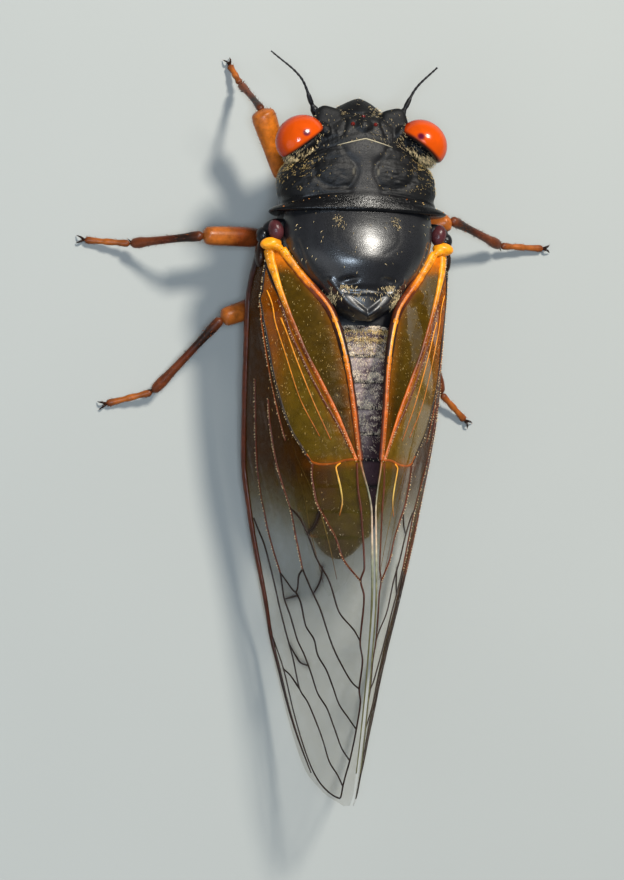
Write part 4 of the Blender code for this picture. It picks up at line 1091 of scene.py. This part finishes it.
def forewing_colours(y, share):
    """Colour and cover of the membrane: orange root, olive inner field, amber to olive middle, clear tip."""
    width = wing_width(y)
    places = np.c_[y, share * width]
    claval, middle = np.interp(y, CLAVAL_PLACES, CLAVAL_SHARES), np.interp(y, MIDDLE_PLACES, MIDDLE_SHARES)
    inner_field = fade((claval - share) * width, -0.05, 0.1) * fade(21.2 - y, 0.0, 0.4)
    outer_field = fade((share - middle) * width, -0.05, 0.15)
    beside_claval = bell((share - claval) * width, 0.45) * (share > claval) * fade(21.0 - y, 0.0, 3.0)
    beside_middle = bell((middle - share) * width, 0.9) * (share < middle) * fade(18.5 - y, 0.0, 5.0)
    beside_edge = bell(share * width, 0.4) * fade(20.8 - y, 0.0, 1.0)
    near_node = bell(y - 20.9, 0.3) * fade(0.42 - share, 0.0, 0.1)
    below_node = fade(y, 20.7, 21.2) * (1 - outer_field)
    warm = np.clip(0.85 * beside_claval + 0.9 * beside_middle, 0, 1)
    distal = fade(y + 1.6 * (share - 0.3), 20.9, 26.3)
    root = fade(10.2 - y, 0.0, 1.2) * fade((claval + 0.08 - share) * width, 0.0, 0.2)
    colour = blend(MIDDLE_BASE, MIDDLE_FIELD, fade(y, 12.0, 16.5))
    layers = (
        (WARM_STRIP, warm),
        (blend(INNER_FIELD, INNER_LOW, fade(y, 14.5, 18.5)), inner_field),
        (WARM_STRIP, 0.45 * beside_edge * inner_field),
        (OUTER_FIELD_AND_SHADE, outer_field),
        (blend(BELOW_NODE, BELOW_MIDDLE, fade(share, 0.1, 0.28)), below_node),
        (CLEAR_FIELD, distal),
        (WARM_STRIP, 0.35 * near_node),
    )
    for tone, amount in layers:
        colour = blend(colour, tone, amount)
    streaks = fade(ripple(np.c_[places[:, 0] * 0.25, places[:, 1] * 1.3, 0 * y], 0.9, 43), 0.3, 1.0)
    # The outer field's thicker cover also darkens it as painted shade
    cover = 0.52 + 0.1 * warm + 0.12 * inner_field + 0.2 * outer_field - 0.06 * below_node
    cover = cover * (1 - 0.3 * streaks * outer_field)
    cover = cover * (1 - distal) + 0.11 * distal
    for kind, *line in FOREWING_VEINS:
        if kind == "heavy":
            shadow = bell(distance_to(to_flat(route(line, 0.3)), places), 0.22)
            colour = blend(colour, DARK_BROWN, shadow)
            cover = cover + (0.5 - cover) * shadow * 0.5
    colour = blend(colour, ROOT_FIELD, root)
    cover = cover * (1 - root) + 0.92 * root
    return np.c_[colour, np.clip(cover, 0, 1)]


def sheet(name, side, y, share, depth, colours, sag):
    """A thin closed sheet over a grid of places on the wing's surface."""
    rows, columns = y.shape
    surface, normal = wing_point(y, share), wing_normal(y, share)
    wave = sag * ripple(surface.reshape(-1, 3), 2.6, 31).reshape(rows, columns, 1)
    outer = kept_off_midline(surface - normal * (depth + wave))
    inner = kept_off_midline(surface - normal * (depth + wave + MEMBRANE_THICKNESS))
    count = rows * columns
    face = grid_faces(rows, columns)
    number = np.arange(count).reshape(rows, columns)
    rim = np.concatenate([number[0, :], number[1:, -1], number[-1, -2::-1], number[-2:0:-1, 0]])
    following = np.roll(rim, -1)
    walls = np.stack([rim, following, following + count, rim + count], axis=-1)
    points = np.vstack([outer.reshape(-1, 3), inner.reshape(-1, 3)])
    points[:, 0] *= side
    made = add_mesh(name, points, [face, face[:, ::-1] + count, walls])
    paint(made, np.vstack([colours, colours]))
    return made


def along_keys(values, part):
    """Values spaced evenly from 0 to 1, read at each part."""
    values = np.asarray(values, float)
    keys = np.linspace(0, 1, len(values))
    if values.ndim == 1:
        return np.interp(part, keys, values)
    return np.stack([np.interp(part, keys, values[:, k]) for k in range(values.shape[1])], axis=-1)


def vein_path(line, depth, spacing):
    """Centre line of a vein in the membrane and the wing's normals along it."""
    path = route(to_flat(line), spacing)
    share = path[:, 1] / wing_width(path[:, 0])
    normal = wing_normal(path[:, 0], share)
    return kept_off_midline(wing_point(path[:, 0], share) - normal * depth), normal


def ring_colours(shade, sides):
    """The colour of each ring of a tube given to each of its points, and to its two end points."""
    return np.vstack([np.repeat(shade, sides, axis=0), shade[:1], shade[-1:]])


def vein_forms(veins, side, depth, spacing=0.1):
    """Tapered tubes along the routes, lying in the membrane."""
    forms = Forms()
    for kind, *line in veins:
        widths, shades = VEIN_KINDS[kind]
        centre, normal = vein_path(line, depth + SUNK_VEINS.get(kind, 0.0), spacing)
        _, across = directions(centre, normal)
        part = np.linspace(0, 1, len(centre))
        radii = along_keys(widths, part) * (1 + 0.07 * ripple(centre, 0.9, 41))
        points, faces = swept(centre, radii, across, normal, VEIN_SIDES, VEIN_FLATNESS)
        mottling = 1 + 0.15 * ripple(centre, 1.4, 42) + 0.15 * ripple(centre, 0.4, 44)
        points[:, 0] *= side
        forms.add(points, faces, ring_colours(along_keys(shades, part) * mottling[:, None], VEIN_SIDES), 0.3)
    return forms


def build_wing(wing, side, y, share, depth, colours, sag, veins, membrane, horn):
    """Finishes the skin and the veins of one wing, whose colours are those of its grid of places."""
    name, node = SIDE_NAMES[side], wing + "_" + SIDE_NAMES[side]
    skin = sheet(f"{wing}_membrane_{name}", side, y, share, depth, colours, sag)
    finish_piece(skin, membrane, "wing_membrane", node)
    tubes = vein_forms(veins, side, depth).piece(f"{wing}_veins_{name}")
    finish_piece(tubes, horn, "wing_membrane", node)
    return skin


def build_forewing(side, membrane, horn):
    spacing, columns, sag = FOREWING_GRID
    y, share = np.meshgrid(rows_of(WING_SECTIONS, spacing), np.linspace(0, 1, columns), indexing="ij")
    colours = forewing_colours(y.reshape(-1), share.reshape(-1))
    layout = (MEMBRANE_DEPTH, colours, sag, FOREWING_VEINS)
    return build_wing("forewing", side, y, share, *layout, membrane, horn)


def build_hindwing(side, membrane, horn):
    spacing, columns, sag = HINDWING_GRID
    rows = rows_of(HINDWING_EDGES, spacing)
    edges = smooth(HINDWING_EDGES, rows)
    part = np.linspace(0, 1, columns)
    share = edges[:, :1] * (1 - part) + edges[:, 1:] * part
    y = np.repeat(rows[:, None], columns, axis=1)
    cover = 0.03 + 0.25 * fade(23.0 - y.reshape(-1), 0.0, 7.0)
    colours = np.c_[np.tile(HINDWING_COLOUR, (y.size, 1)), cover]
    layout = (HINDWING_DEPTH, colours, sag, HINDWING_VEINS)
    return build_wing("hindwing", side, y, share, *layout, membrane, horn)


# Wing root: knob, and the dark lobe and knob in front of it; centre, half sizes, turn, colour
WING_ROOT = (
    ("knob", (5.13, 8.33, 6.95), (0.62, 0.38, 0.42), 0.1, YELLOW_ORANGE),
    ("arm", (4.8, 8.5, 7.14), (0.42, 0.24, 0.24), -0.5, YELLOW_ORANGE),
    ("lobe", (4.85, 7.55, 7.0), (0.44, 0.62, 0.44), 0.25, LOBE_PURPLE),
    ("black_knob", (5.45, 7.8, 6.35), (0.4, 0.48, 0.42), 0.0, BLACK),
    ("under", (5.55, 8.9, 6.1), (0.3, 0.75, 0.45), 0.0, DARK_BROWN),
)


def build_wing_root(side, horn):
    forms = Forms()
    for _, centre, sizes, turn, colour in WING_ROOT:
        forms.add(*ball(mirrored(centre, side), sizes, side * turn), colour, 0.25)
    return finish_piece(forms.piece("wing_root_" + SIDE_NAMES[side]), horn, "wing_membrane")


# Legs: hip, femur root, knee, ankle and claw of each
LEG_PATHS = {
    "leg_front_left": (
        (2.4, 5.0, 3.2), (3.6, 3.9, 3.2), (5.1, 0.3, 4.4), (5.5, -1.6, 0.9), (6.0, -2.8, 0.2),
    ),
    "leg_mid_left": (
        (2.4, 8.0, 3.0), (4.6, 7.6, 2.9), (8.4, 7.7, 4.0), (12.0, 8.0, 0.9), (14.6, 7.8, 0.2),
    ),
    "leg_hind_left": (
        (2.4, 10.6, 3.0), (4.4, 11.4, 2.5), (7.1, 12.4, 3.3), (10.6, 16.6, 0.9), (13.2, 17.3, 0.2),
    ),
    "leg_front_right": (
        (-2.4, 5.0, 3.2), (-3.8, 3.9, 3.1), (-4.7, 1.5, 3.9), (-5.1, 2.0, 0.9), (-5.95, 2.2, 0.2),
    ),
    "leg_mid_right": (
        (-2.4, 8.0, 3.0), (-4.4, 7.2, 2.9), (-6.5, 6.3, 4.0), (-10.5, 7.4, 0.9), (-13.4, 7.4, 0.2),
    ),
    "leg_hind_right": (
        (-2.4, 9.4, 3.0), (-3.8, 9.9, 2.4), (-5.0, 11.2, 2.9), (-6.9, 16.3, 0.9), (-8.6, 17.8, 0.2),
    ),
}
COXA_PROFILE = (0.6, 0.85, 0.85, 0.7, 0.5)
TIBIA_PROFILE = (0.3, 0.3, 0.25, 0.23, 0.23, 0.24, 0.26, 0.32, 0.24)
TARSUS_PROFILE = (0.17, 0.21, 0.19, 0.16, 0.19, 0.2, 0.16, 0.17, 0.19, 0.21, 0.18)
COXA_COLOURS = (DARK_BROWN, DARK_BROWN, BLACK)
TIBIA_COLOURS = (LEG_BROWN, DARK_BROWN, DARK_BROWN, RED_BROWN, LEG_BROWN, LEG_BROWN, LEG_BROWN)
TARSUS_COLOURS = (LEG_BROWN, LEG_MIDDLE, LEG_MIDDLE, LEG_BROWN)
FEMUR_SIDES = 20
TIBIA_SIDES = 16
TARSUS_SIDES = 14
LEG_HAIRS = 420

# Half widths and colours of the femur, and the share of its full thickness that the tibia below it has
FEMUR = (
    (0.42, 0.52, 0.57, 0.58, 0.57, 0.56, 0.54, 0.46),
    (LEG_BROWN, LEG_BROWN, LEG_RED, LEG_RED, LEG_MIDDLE, LEG_MIDDLE, LEG_MIDDLE),
    1.0,
)
FRONT_FEMUR = (
    (0.4, 0.5, 0.56, 0.6, 0.65, 0.7, 0.72, 0.62),
    (LEG_MIDDLE, LEG_MIDDLE, LEG_ORANGE, LEG_ORANGE, LEG_MIDDLE),
    0.8,
)
CLAW_LENGTH = 0.5
CLAW_SPREAD = math.radians(28)


def leg_length(start, end, profile, bend=0.0, spacing=0.08):
    """Centres and radii of one length of a leg, bent up a little in its middle."""
    start, end = np.array(start, float), np.array(end, float)
    count = max(8, int(np.linalg.norm(end - start) / spacing))
    part = np.linspace(0, 1, count)
    centres = start + (end - start) * part[:, None]
    centres[:, 2] += bend * np.sin(part * math.pi)
    keys = np.c_[np.linspace(0, 1, len(profile)), profile]
    radii = smooth(keys, part)[:, 0]
    radii *= np.sqrt(np.clip(np.minimum(part, 1 - part) * count / 2.5, 0.08, 1))
    return centres, radii


def limb(forms, line, sides, keys, roughness, flat=1.0):
    """Adds one length of a leg with its colours spaced evenly along it."""
    centres, radii = line
    shade = along_keys(keys, np.linspace(0, 1, len(centres)))
    shade = shade * (1 + 0.2 * ripple(centres, 1.1, 61))[:, None]
    forms.add(*tube(centres, radii, sides, flat), ring_colours(shade, sides), roughness)


def add_spurs(forms, start, end, count, length, first, seed):
    """Short dark spines that stand out near the lower end of a leg's length."""
    draw = np.random.default_rng(seed)
    along = unit(end - start)
    across = unit(np.cross(along, (0, 0, 1)))
    lift = np.cross(across, along)
    for k in range(count):
        turn = 2.4 * k
        out = math.cos(turn) * across + math.sin(turn) * lift
        root = start + (end - start) * (first + (0.97 - first) * k / max(count - 1, 1))
        tip = root + (0.75 * out + 0.55 * along) * (0.2 + length * draw.uniform(0.7, 1.1))
        forms.add(*tube(np.linspace(root, tip, 4), (0.06, 0.05, 0.035, 0.012), 6), DARK_BROWN, 0.3)


def add_claws(forms, ankle, claw):
    ahead = unit(claw - ankle)
    ahead[2] = 0
    for turn in (-CLAW_SPREAD, CLAW_SPREAD):
        reach = np.array(Matrix.Rotation(turn, 3, "Z") @ Vector(ahead)) * CLAW_LENGTH
        line = route([claw, claw + reach * 0.5 + (0, 0, 0.16), claw + reach + (0, 0, -0.1)], 0.05)
        forms.add(*tube(line, np.linspace(0.1, 0.02, len(line)), 10), DARK_BROWN, 0.25)


def build_leg(name, horn, hair):
    hip, root, knee, ankle, claw = np.array(LEG_PATHS[name], float)
    front = "front" in name
    femur_profile, femur_colours, tibia_share = FRONT_FEMUR if front else FEMUR
    forms = Forms()
    limb(forms, leg_length(hip, root, COXA_PROFILE), FEMUR_SIDES, COXA_COLOURS, 0.35)
    femur = leg_length(root - (knee - root) * 0.06, knee, femur_profile, 0.12)
    limb(forms, femur, FEMUR_SIDES, femur_colours, 0.3, 0.9)
    centres, radii = leg_length(knee, ankle, TIBIA_PROFILE, 0.1)
    limb(forms, (centres, radii * tibia_share), TIBIA_SIDES, TIBIA_COLOURS, 0.33, 0.9)
    tarsus = leg_length(ankle, claw, TARSUS_PROFILE, 0.02, 0.06)
    limb(forms, tarsus, TARSUS_SIDES, TARSUS_COLOURS, 0.35, 0.85)
    add_spurs(forms, knee, ankle, 9, 0.22, 0.45, 62)
    if front:
        add_spurs(forms, root, knee, 3, 0.4, 0.6, 63)
    add_claws(forms, ankle, claw)
    made = finish_piece(forms.piece(name + "_shell"), horn, "leg_orange", name)
    coat = Forms()
    places, normals = rooted(made, LEG_HAIRS, everywhere, 64)
    hair_forms(coat, places, normals, unit(claw - root), 0.17, 0.009, AMBER, 65, 0.7)
    return finish_piece(coat.piece(name + "_hairs"), hair, "leg_orange")


# Antennae and beak
ANTENNA_PATHS = {
    LEFT: ((2.2, 1.2, 6.8), (2.75, 0.3, 7.0), (3.5, -1.2, 7.3), (5.3, -2.7, 7.3)),
    RIGHT: ((-2.2, 1.2, 6.8), (-2.75, 0.3, 7.0), (-3.4, -0.9, 7.0), (-4.7, -2.2, 7.0)),
}
BEAK_PATH = ((0.0, 1.6, 3.9), (0.0, 2.7, 2.9), (0.0, 4.4, 1.9), (0.0, 7.4, 1.45))

# Half widths: of an antenna by the distance from its root, and of the beak by the share of its length
ANTENNA_WIDTHS = (
    (0, 0.26), (0.8, 0.24), (1.15, 0.12), (1.3, 0.15), (1.7, 0.13), (1.9, 0.085), (2.6, 0.07), (8.0, 0.025),
)
BEAK_WIDTHS = ((0, 0.55), (0.2, 0.5), (0.35, 0.4), (0.37, 0.44), (0.7, 0.36), (0.72, 0.38), (1.0, 0.14))


def build_antenna(side, shell):
    """Two thick joints and a thin ringed bristle."""
    line, name = route(ANTENNA_PATHS[side], 0.03), SIDE_NAMES[side]
    along = np.linspace(0, np.linalg.norm(np.diff(line, axis=0), axis=1).sum(), len(line))
    rings = 1 + 0.12 * np.sin(along * 2 * math.pi / 0.3) * fade(along, 1.9, 2.2)
    points, faces = tube(line, smooth(ANTENNA_WIDTHS, along)[:, 0] * rings, 12)
    made = one_form("antenna_bristle_" + name, points, faces, BLACK, 0.3)
    return finish_piece(made, shell, "shell_black", "antenna_" + name)


def build_beak(shell):
    line = route(BEAK_PATH, 0.05)
    points, faces = tube(line, smooth(BEAK_WIDTHS, np.linspace(0, 1, len(line)))[:, 0], 20, 0.85)
    return finish_piece(one_form("beak_sheath", points, faces, BLACK, 0.33), shell, "shell_black", "beak")


# Hairs, and the unwrapped skin of the body that they stand on
HAIR_SIDES = 3
HAIR_POINTS = 2 * HAIR_SIDES + 1
SKIN_PATCH = 0.0014
SKIN_AXIS_Z = 5.5
SKIN_START = -4.0
SKIN_LENGTH = 46.0


def rooted(piece, count, weight, seed):
    """Places and normals spread at random over a finished piece, denser where the weight is higher."""
    corners = triangles_of(piece)
    points, normals = places_of(piece) / MM - ORIGIN, normals_of(piece)
    a, b, c = points[corners].transpose(1, 0, 2)
    area = np.linalg.norm(np.cross(b - a, c - a), axis=1)
    share = area * weight((a + b + c) / 3, normals[corners].mean(axis=1))
    draw = np.random.default_rng(seed)
    picked = draw.choice(len(corners), count, p=share / share.sum())
    u, v = draw.random((2, count))
    u, v = np.where(u + v > 1, 1 - u, u)[:, None], np.where(u + v > 1, 1 - v, v)[:, None]
    places = a[picked] + u * (b - a)[picked] + v * (c - a)[picked]
    return places, unit(normals[corners[picked]].mean(axis=1))


def skin_place(places):
    """Places on the body's own unwrapped skin: round its long axis, and along it."""
    around = 0.5 + np.arctan2(places[:, 0], places[:, 2] - SKIN_AXIS_Z) / (2 * math.pi)
    return np.c_[around, (places[:, 1] - SKIN_START) / SKIN_LENGTH]


def hair_forms(forms, places, normals, lie, length, width, colour, seed, lift=0.5):
    """Adds closed tapered hairs that grow from the places and lean over along the lie."""
    draw = np.random.default_rng(seed)
    count = len(places)
    lie = np.broadcast_to(lie, (count, 3)) + draw.normal(0, 0.28, (count, 3))
    lie = unit(lie - (lie * normals).sum(axis=1)[:, None] * normals)
    reach = (length * draw.uniform(0.5, 1.2, count))[:, None]
    root, middle = places - normals * 0.02, places + (lie * 0.45 + normals * lift * 0.6) * reach
    tip = places + (lie * 0.95 + normals * lift * 0.7) * reach
    first = np.cross(normals, lie)
    second = unit(np.cross(lie + normals * lift, first))
    turns = full_turn(HAIR_SIDES)
    corner = np.c_[np.cos(turns), np.sin(turns)]
    ring = corner[:, :1] * first[:, None] + corner[:, 1:] * second[:, None]
    thick = (width * draw.uniform(0.7, 1.3, count))[:, None, None]
    rings = [root[:, None] + ring * thick, middle[:, None] + ring * thick * 0.75, tip[:, None]]
    start = (np.arange(count) * HAIR_POINTS)[:, None]
    edges = [(k, (k + 1) % HAIR_SIDES) for k in range(HAIR_SIDES)]
    sides = [start + ((k, after, after + HAIR_SIDES, k + HAIR_SIDES),) for k, after in edges]
    tips = [start + ((k + HAIR_SIDES, after + HAIR_SIDES, HAIR_POINTS - 1),) for k, after in edges]
    tips.append(start + ((2, 1, 0),))
    patch = np.vstack([corner, corner * 0.5, (0, 0)]) * SKIN_PATCH
    skin = (skin_place(places)[:, None] + patch).reshape(-1, 2)
    shade = np.array(colour, float) * draw.uniform(0.55, 1.2, count)[:, None]
    faces = [np.concatenate(sides), np.concatenate(tips)]
    forms.add(np.concatenate(rings, axis=1), faces, np.repeat(shade, HAIR_POINTS, axis=0), 0.35, skin)


def everywhere(places, normals):
    return np.ones(len(places))


def near(places, centre, half_sizes):
    """1 at the middle of a flat patch on the back, the same on both sides, fading round it."""
    x, y, _ = folded(places)
    return bell(x - centre[0], half_sizes[0]) * bell(y - centre[1], half_sizes[1])


def facing_up(normals):
    return fade(normals[:, 2], -0.1, 0.35)


def clumps(places, scale, seed):
    """Thins a coat out between irregular clumps."""
    return 0.12 + fade(ripple(places, scale, seed), -0.3, 0.6)


def face_hair_weight(places, normals):
    """Hairs of the head: round the eyes and behind them, a patch on the forehead and few in the middle."""
    x, y, _ = folded(places)
    total = 0.09 + 0.7 * fade(x, 1.8, 3.2) * fade(y, 1.2, 2.2) + 2.3 * near(places, (3.7, 3.3), (0.9, 0.6))
    total += 0.5 * near(places, (0.6, 0.75), (0.8, 0.3))
    return facing_up(normals) * clumps(places, 0.7, 18) * total


def front_plate_weight(places, normals):
    """Hairs of the first back plate: dense on its sides and along its front edge, none on its collar."""
    x, y, _ = folded(places)
    total = 0.05 + 0.35 * fade(x, 1.6, 3.6) + near(places, (3.9, 3.6), (0.8, 0.6)) * 3.0
    return total * fade(5.7 - y - 0.08 * x, 0.0, 0.2) * clumps(places, 0.8, 19)


# Tufts of the big back plate: density, centre and half sizes
BACK_PLATE_TUFTS = (
    (1.2, (1.68, 7.1), (0.22, 0.3)),
    (2.2, (1.3, 10.85), (0.45, 0.12)),
    (2.4, (2.0, 11.45), (0.25, 0.25)),
    (0.4, (0.7, 11.15), (0.7, 0.12)),
    (0.3, (0.0, 11.55), (0.7, 0.3)),
)


def back_plate_weight(places, normals):
    """Hairs of the big back plate: its front tufts, the pits, the tufts beside the shield and its edges."""
    total = sum(share * near(places, centre, sizes) for share, centre, sizes in BACK_PLATE_TUFTS)
    return facing_up(normals) * (total + 0.02 * fade(np.abs(places[:, 0]), 3.0, 4.2) + 0.006)


def ring_hair_weight(places, normals):
    """Silver hairs of the abdomen, thickest along the hind edges of its rings."""
    share = tergite_share(places[:, 1]) % 1.0
    onward = 0.02 + 0.98 * fade(20.8 - places[:, 1], 0.0, 2.5)
    on_top = 0.1 + 0.9 * fade(2.5 - np.abs(places[:, 0] - 0.2), 0.0, 1.0) * facing_up(normals)
    return onward * on_top * clumps(places, 0.5, 17) * (0.5 + 0.8 * fade(share, 0.45, 0.85))


def band_hair_weight(places, normals):
    """Golden hairs in two bands across the abdomen's first ring, and a few behind them."""
    y = places[:, 1]
    bands = bell(y - 13.25, 0.12) + bell(y - 13.7, 0.14) + 0.2 * bell(y - 14.4, 0.4)
    return bands * fade(places[:, 2], 5.5, 6.5)


# Coats of the body: piece, name, how many hairs, weight, length, half width, colour and lift
BODY_COATS = (
    ("head", "head", 1800, face_hair_weight, 0.2, 0.011, PALE_GOLD, 0.8),
    ("pronotum", "pronotum", 1700, front_plate_weight, 0.14, 0.01, GOLD, 0.6),
    ("thorax", "thorax", 620, back_plate_weight, 0.24, 0.012, PALE_GOLD, 0.6),
    ("abdomen", "ring", 15000, ring_hair_weight, 0.13, 0.019, SILVER_GOLD, 0.2),
    ("abdomen", "band", 2600, band_hair_weight, 0.15, 0.016, GOLD, 0.4),
)
HAIR_LIE = np.array((0.0, 1.0, 0.0))
HAIR_SPREAD = np.array((0.25, 0.0, 0.0))


def build_body_hairs(pieces, hair):
    for number, (piece, name, count, weight, length, width, colour, lift) in enumerate(BODY_COATS):
        places, normals = rooted(pieces[piece], count, weight, 70 + number)
        lie = HAIR_LIE + np.sign(places[:, :1]) * HAIR_SPREAD
        coat = Forms()
        hair_forms(coat, places, normals, lie, length, width, colour, 80 + number, lift)
        finish_piece(coat.piece(name + "_hairs"), hair, "shell_black")


def wing_fleck_weight(places, normals):
    """Golden flecks of the wing: over its inner half above the node, and hardly any beyond."""
    y = places[:, 1]
    return fade(normals[:, 2], 0.35, 0.7) * (fade(22.0 - y, 0.0, 8.0) + 0.04) * fade(27.0 - y, 0.0, 3.0)


def build_wing_flecks(side, skin, hair):
    """Short golden hairs on the base of the wing, and golden beads along its strong veins."""
    places, normals = rooted(skin, WING_FLECKS, wing_fleck_weight, 90)
    coat = Forms()
    hair_forms(coat, places, normals, HAIR_LIE, 0.13, 0.011, GOLD, 91, 0.3)
    draw = np.random.default_rng(92)
    for kind, *line in FOREWING_VEINS:
        if kind in BEADED:
            centre, normal = vein_path(line, MEMBRANE_DEPTH, BEAD_SPACING)
            width = along_keys(VEIN_KINDS[kind][0], np.linspace(0, 1, len(centre)))[:, None]
            kept = draw.random(len(centre)) < BEADS_KEPT
            rows = (centre + normal * width * VEIN_FLATNESS, normal, np.gradient(centre, axis=0))
            root, up, along = [row[kept] * (side, 1, 1) for row in rows]
            hair_forms(coat, root, up, along, 0.09, 0.026, PALE_GOLD, 93, 0.9)
    return finish_piece(coat.piece("forewing_flecks_" + SIDE_NAMES[side]), hair, "wing_membrane")


# Stage
def build_floor():
    half = FLOOR_SIZE / 2
    corners = np.array([(-half, -half, 0), (half, -half, 0), (half, half, 0), (-half, half, 0)])
    floor = add_mesh("studio_floor", corners * MM, [np.array([[0, 1, 2, 3]])])
    paint(floor, tinted(corners, FLOOR_COLOUR))
    floor.data.materials.append(floor_material())


def build_lights():
    middle = Vector(LIGHT_AIM) * MM
    for name, (place, size, power, colour) in LIGHTS.items():
        light = bpy.data.lights.new(name, "AREA")
        light.shape = "DISK"
        light.size = size * MM
        light.energy = power
        light.color = colour
        lamp = add_object(name, light)
        lamp.location = Vector(place) * MM
        lamp.rotation_euler = (middle - lamp.location).to_track_quat("-Z", "Y").to_euler()
    world = bpy.data.worlds.new("studio")
    world.use_nodes = True
    background = world.node_tree.nodes["Background"]
    background.inputs["Color"].default_value = (*WORLD_COLOUR, 1)
    background.inputs["Strength"].default_value = WORLD_STRENGTH
    bpy.context.scene.world = world
    bpy.context.scene.view_settings.view_transform = "Standard"


def build_camera():
    """Looks down on the back along the photograph's line of sight."""
    turn, tilt, roll = CAMERA_TURN, CAMERA_TILT, CAMERA_ROLL
    sight = np.array([-math.sin(turn) * math.cos(tilt), -math.sin(tilt), -math.cos(turn) * math.cos(tilt)])
    right = unit(np.cross(sight, (0, -1, 0)))
    up = np.cross(right, sight)
    right, up = math.cos(roll) * right + math.sin(roll) * up, math.cos(roll) * up - math.sin(roll) * right
    lens = bpy.data.cameras.new("camera")
    lens.lens = CAMERA_LENS
    lens.sensor_width = CAMERA_SENSOR
    lens.clip_start = 0.01
    camera = add_object("camera", lens)
    axes = np.eye(4)
    axes[:3, :3] = np.c_[right, up, -sight]
    axes[:3, 3] = (np.array(CAMERA_AIM) - CAMERA_DISTANCE * sight + ORIGIN) * MM
    camera.matrix_world = Matrix(axes.tolist())
    bpy.context.scene.camera = camera


def frame_origin():
    """The animal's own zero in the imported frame, in millimetres."""
    thorax, head = np.array(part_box("thorax")), np.array(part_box("head"))
    return np.array([thorax[:, 0].mean() / MM, head[0, 1] / MM - HEAD_TIP_Y, 0.0])


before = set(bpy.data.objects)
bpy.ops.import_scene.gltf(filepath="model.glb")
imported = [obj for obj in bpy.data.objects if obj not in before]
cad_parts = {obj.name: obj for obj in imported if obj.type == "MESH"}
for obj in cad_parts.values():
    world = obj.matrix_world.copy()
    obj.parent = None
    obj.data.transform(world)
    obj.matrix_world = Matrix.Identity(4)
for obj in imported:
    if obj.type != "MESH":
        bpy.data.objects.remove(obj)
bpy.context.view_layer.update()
ORIGIN = frame_origin()

build_camera()
build_lights()
build_floor()
SHELL = shell_material("cicada_shell", 0.2, 0.0, 0.65)
POLISHED = shell_material("cicada_polished_shell", 0.6, 0.1, 0.25)
EYE, HORN, HAIR = eye_material(), horn_material(), hair_material()
FOREWING_SKIN = membrane_material("cicada_forewing_membrane", 0.35)
HINDWING_SKIN = membrane_material("cicada_hindwing_membrane", 0.5)
body = {
    "head": build_head(SHELL),
    "pronotum": build_pronotum(SHELL),
    "thorax": build_thorax(POLISHED, SHELL),
    "abdomen": build_abdomen(SHELL),
}
build_body_hairs(body, HAIR)
build_ocelli(EYE)
build_plate_trim(HORN)
build_beak(SHELL)
for each_side in (LEFT, RIGHT):
    build_eye(each_side, EYE)
    build_antenna(each_side, SHELL)
    wing = build_forewing(each_side, FOREWING_SKIN, HORN)
    build_wing_flecks(each_side, wing, HAIR)
    build_hindwing(each_side, HINDWING_SKIN, HORN)
    build_wing_root(each_side, HORN)
for leg in LEG_PATHS:
    build_leg(leg, HORN, HAIR)
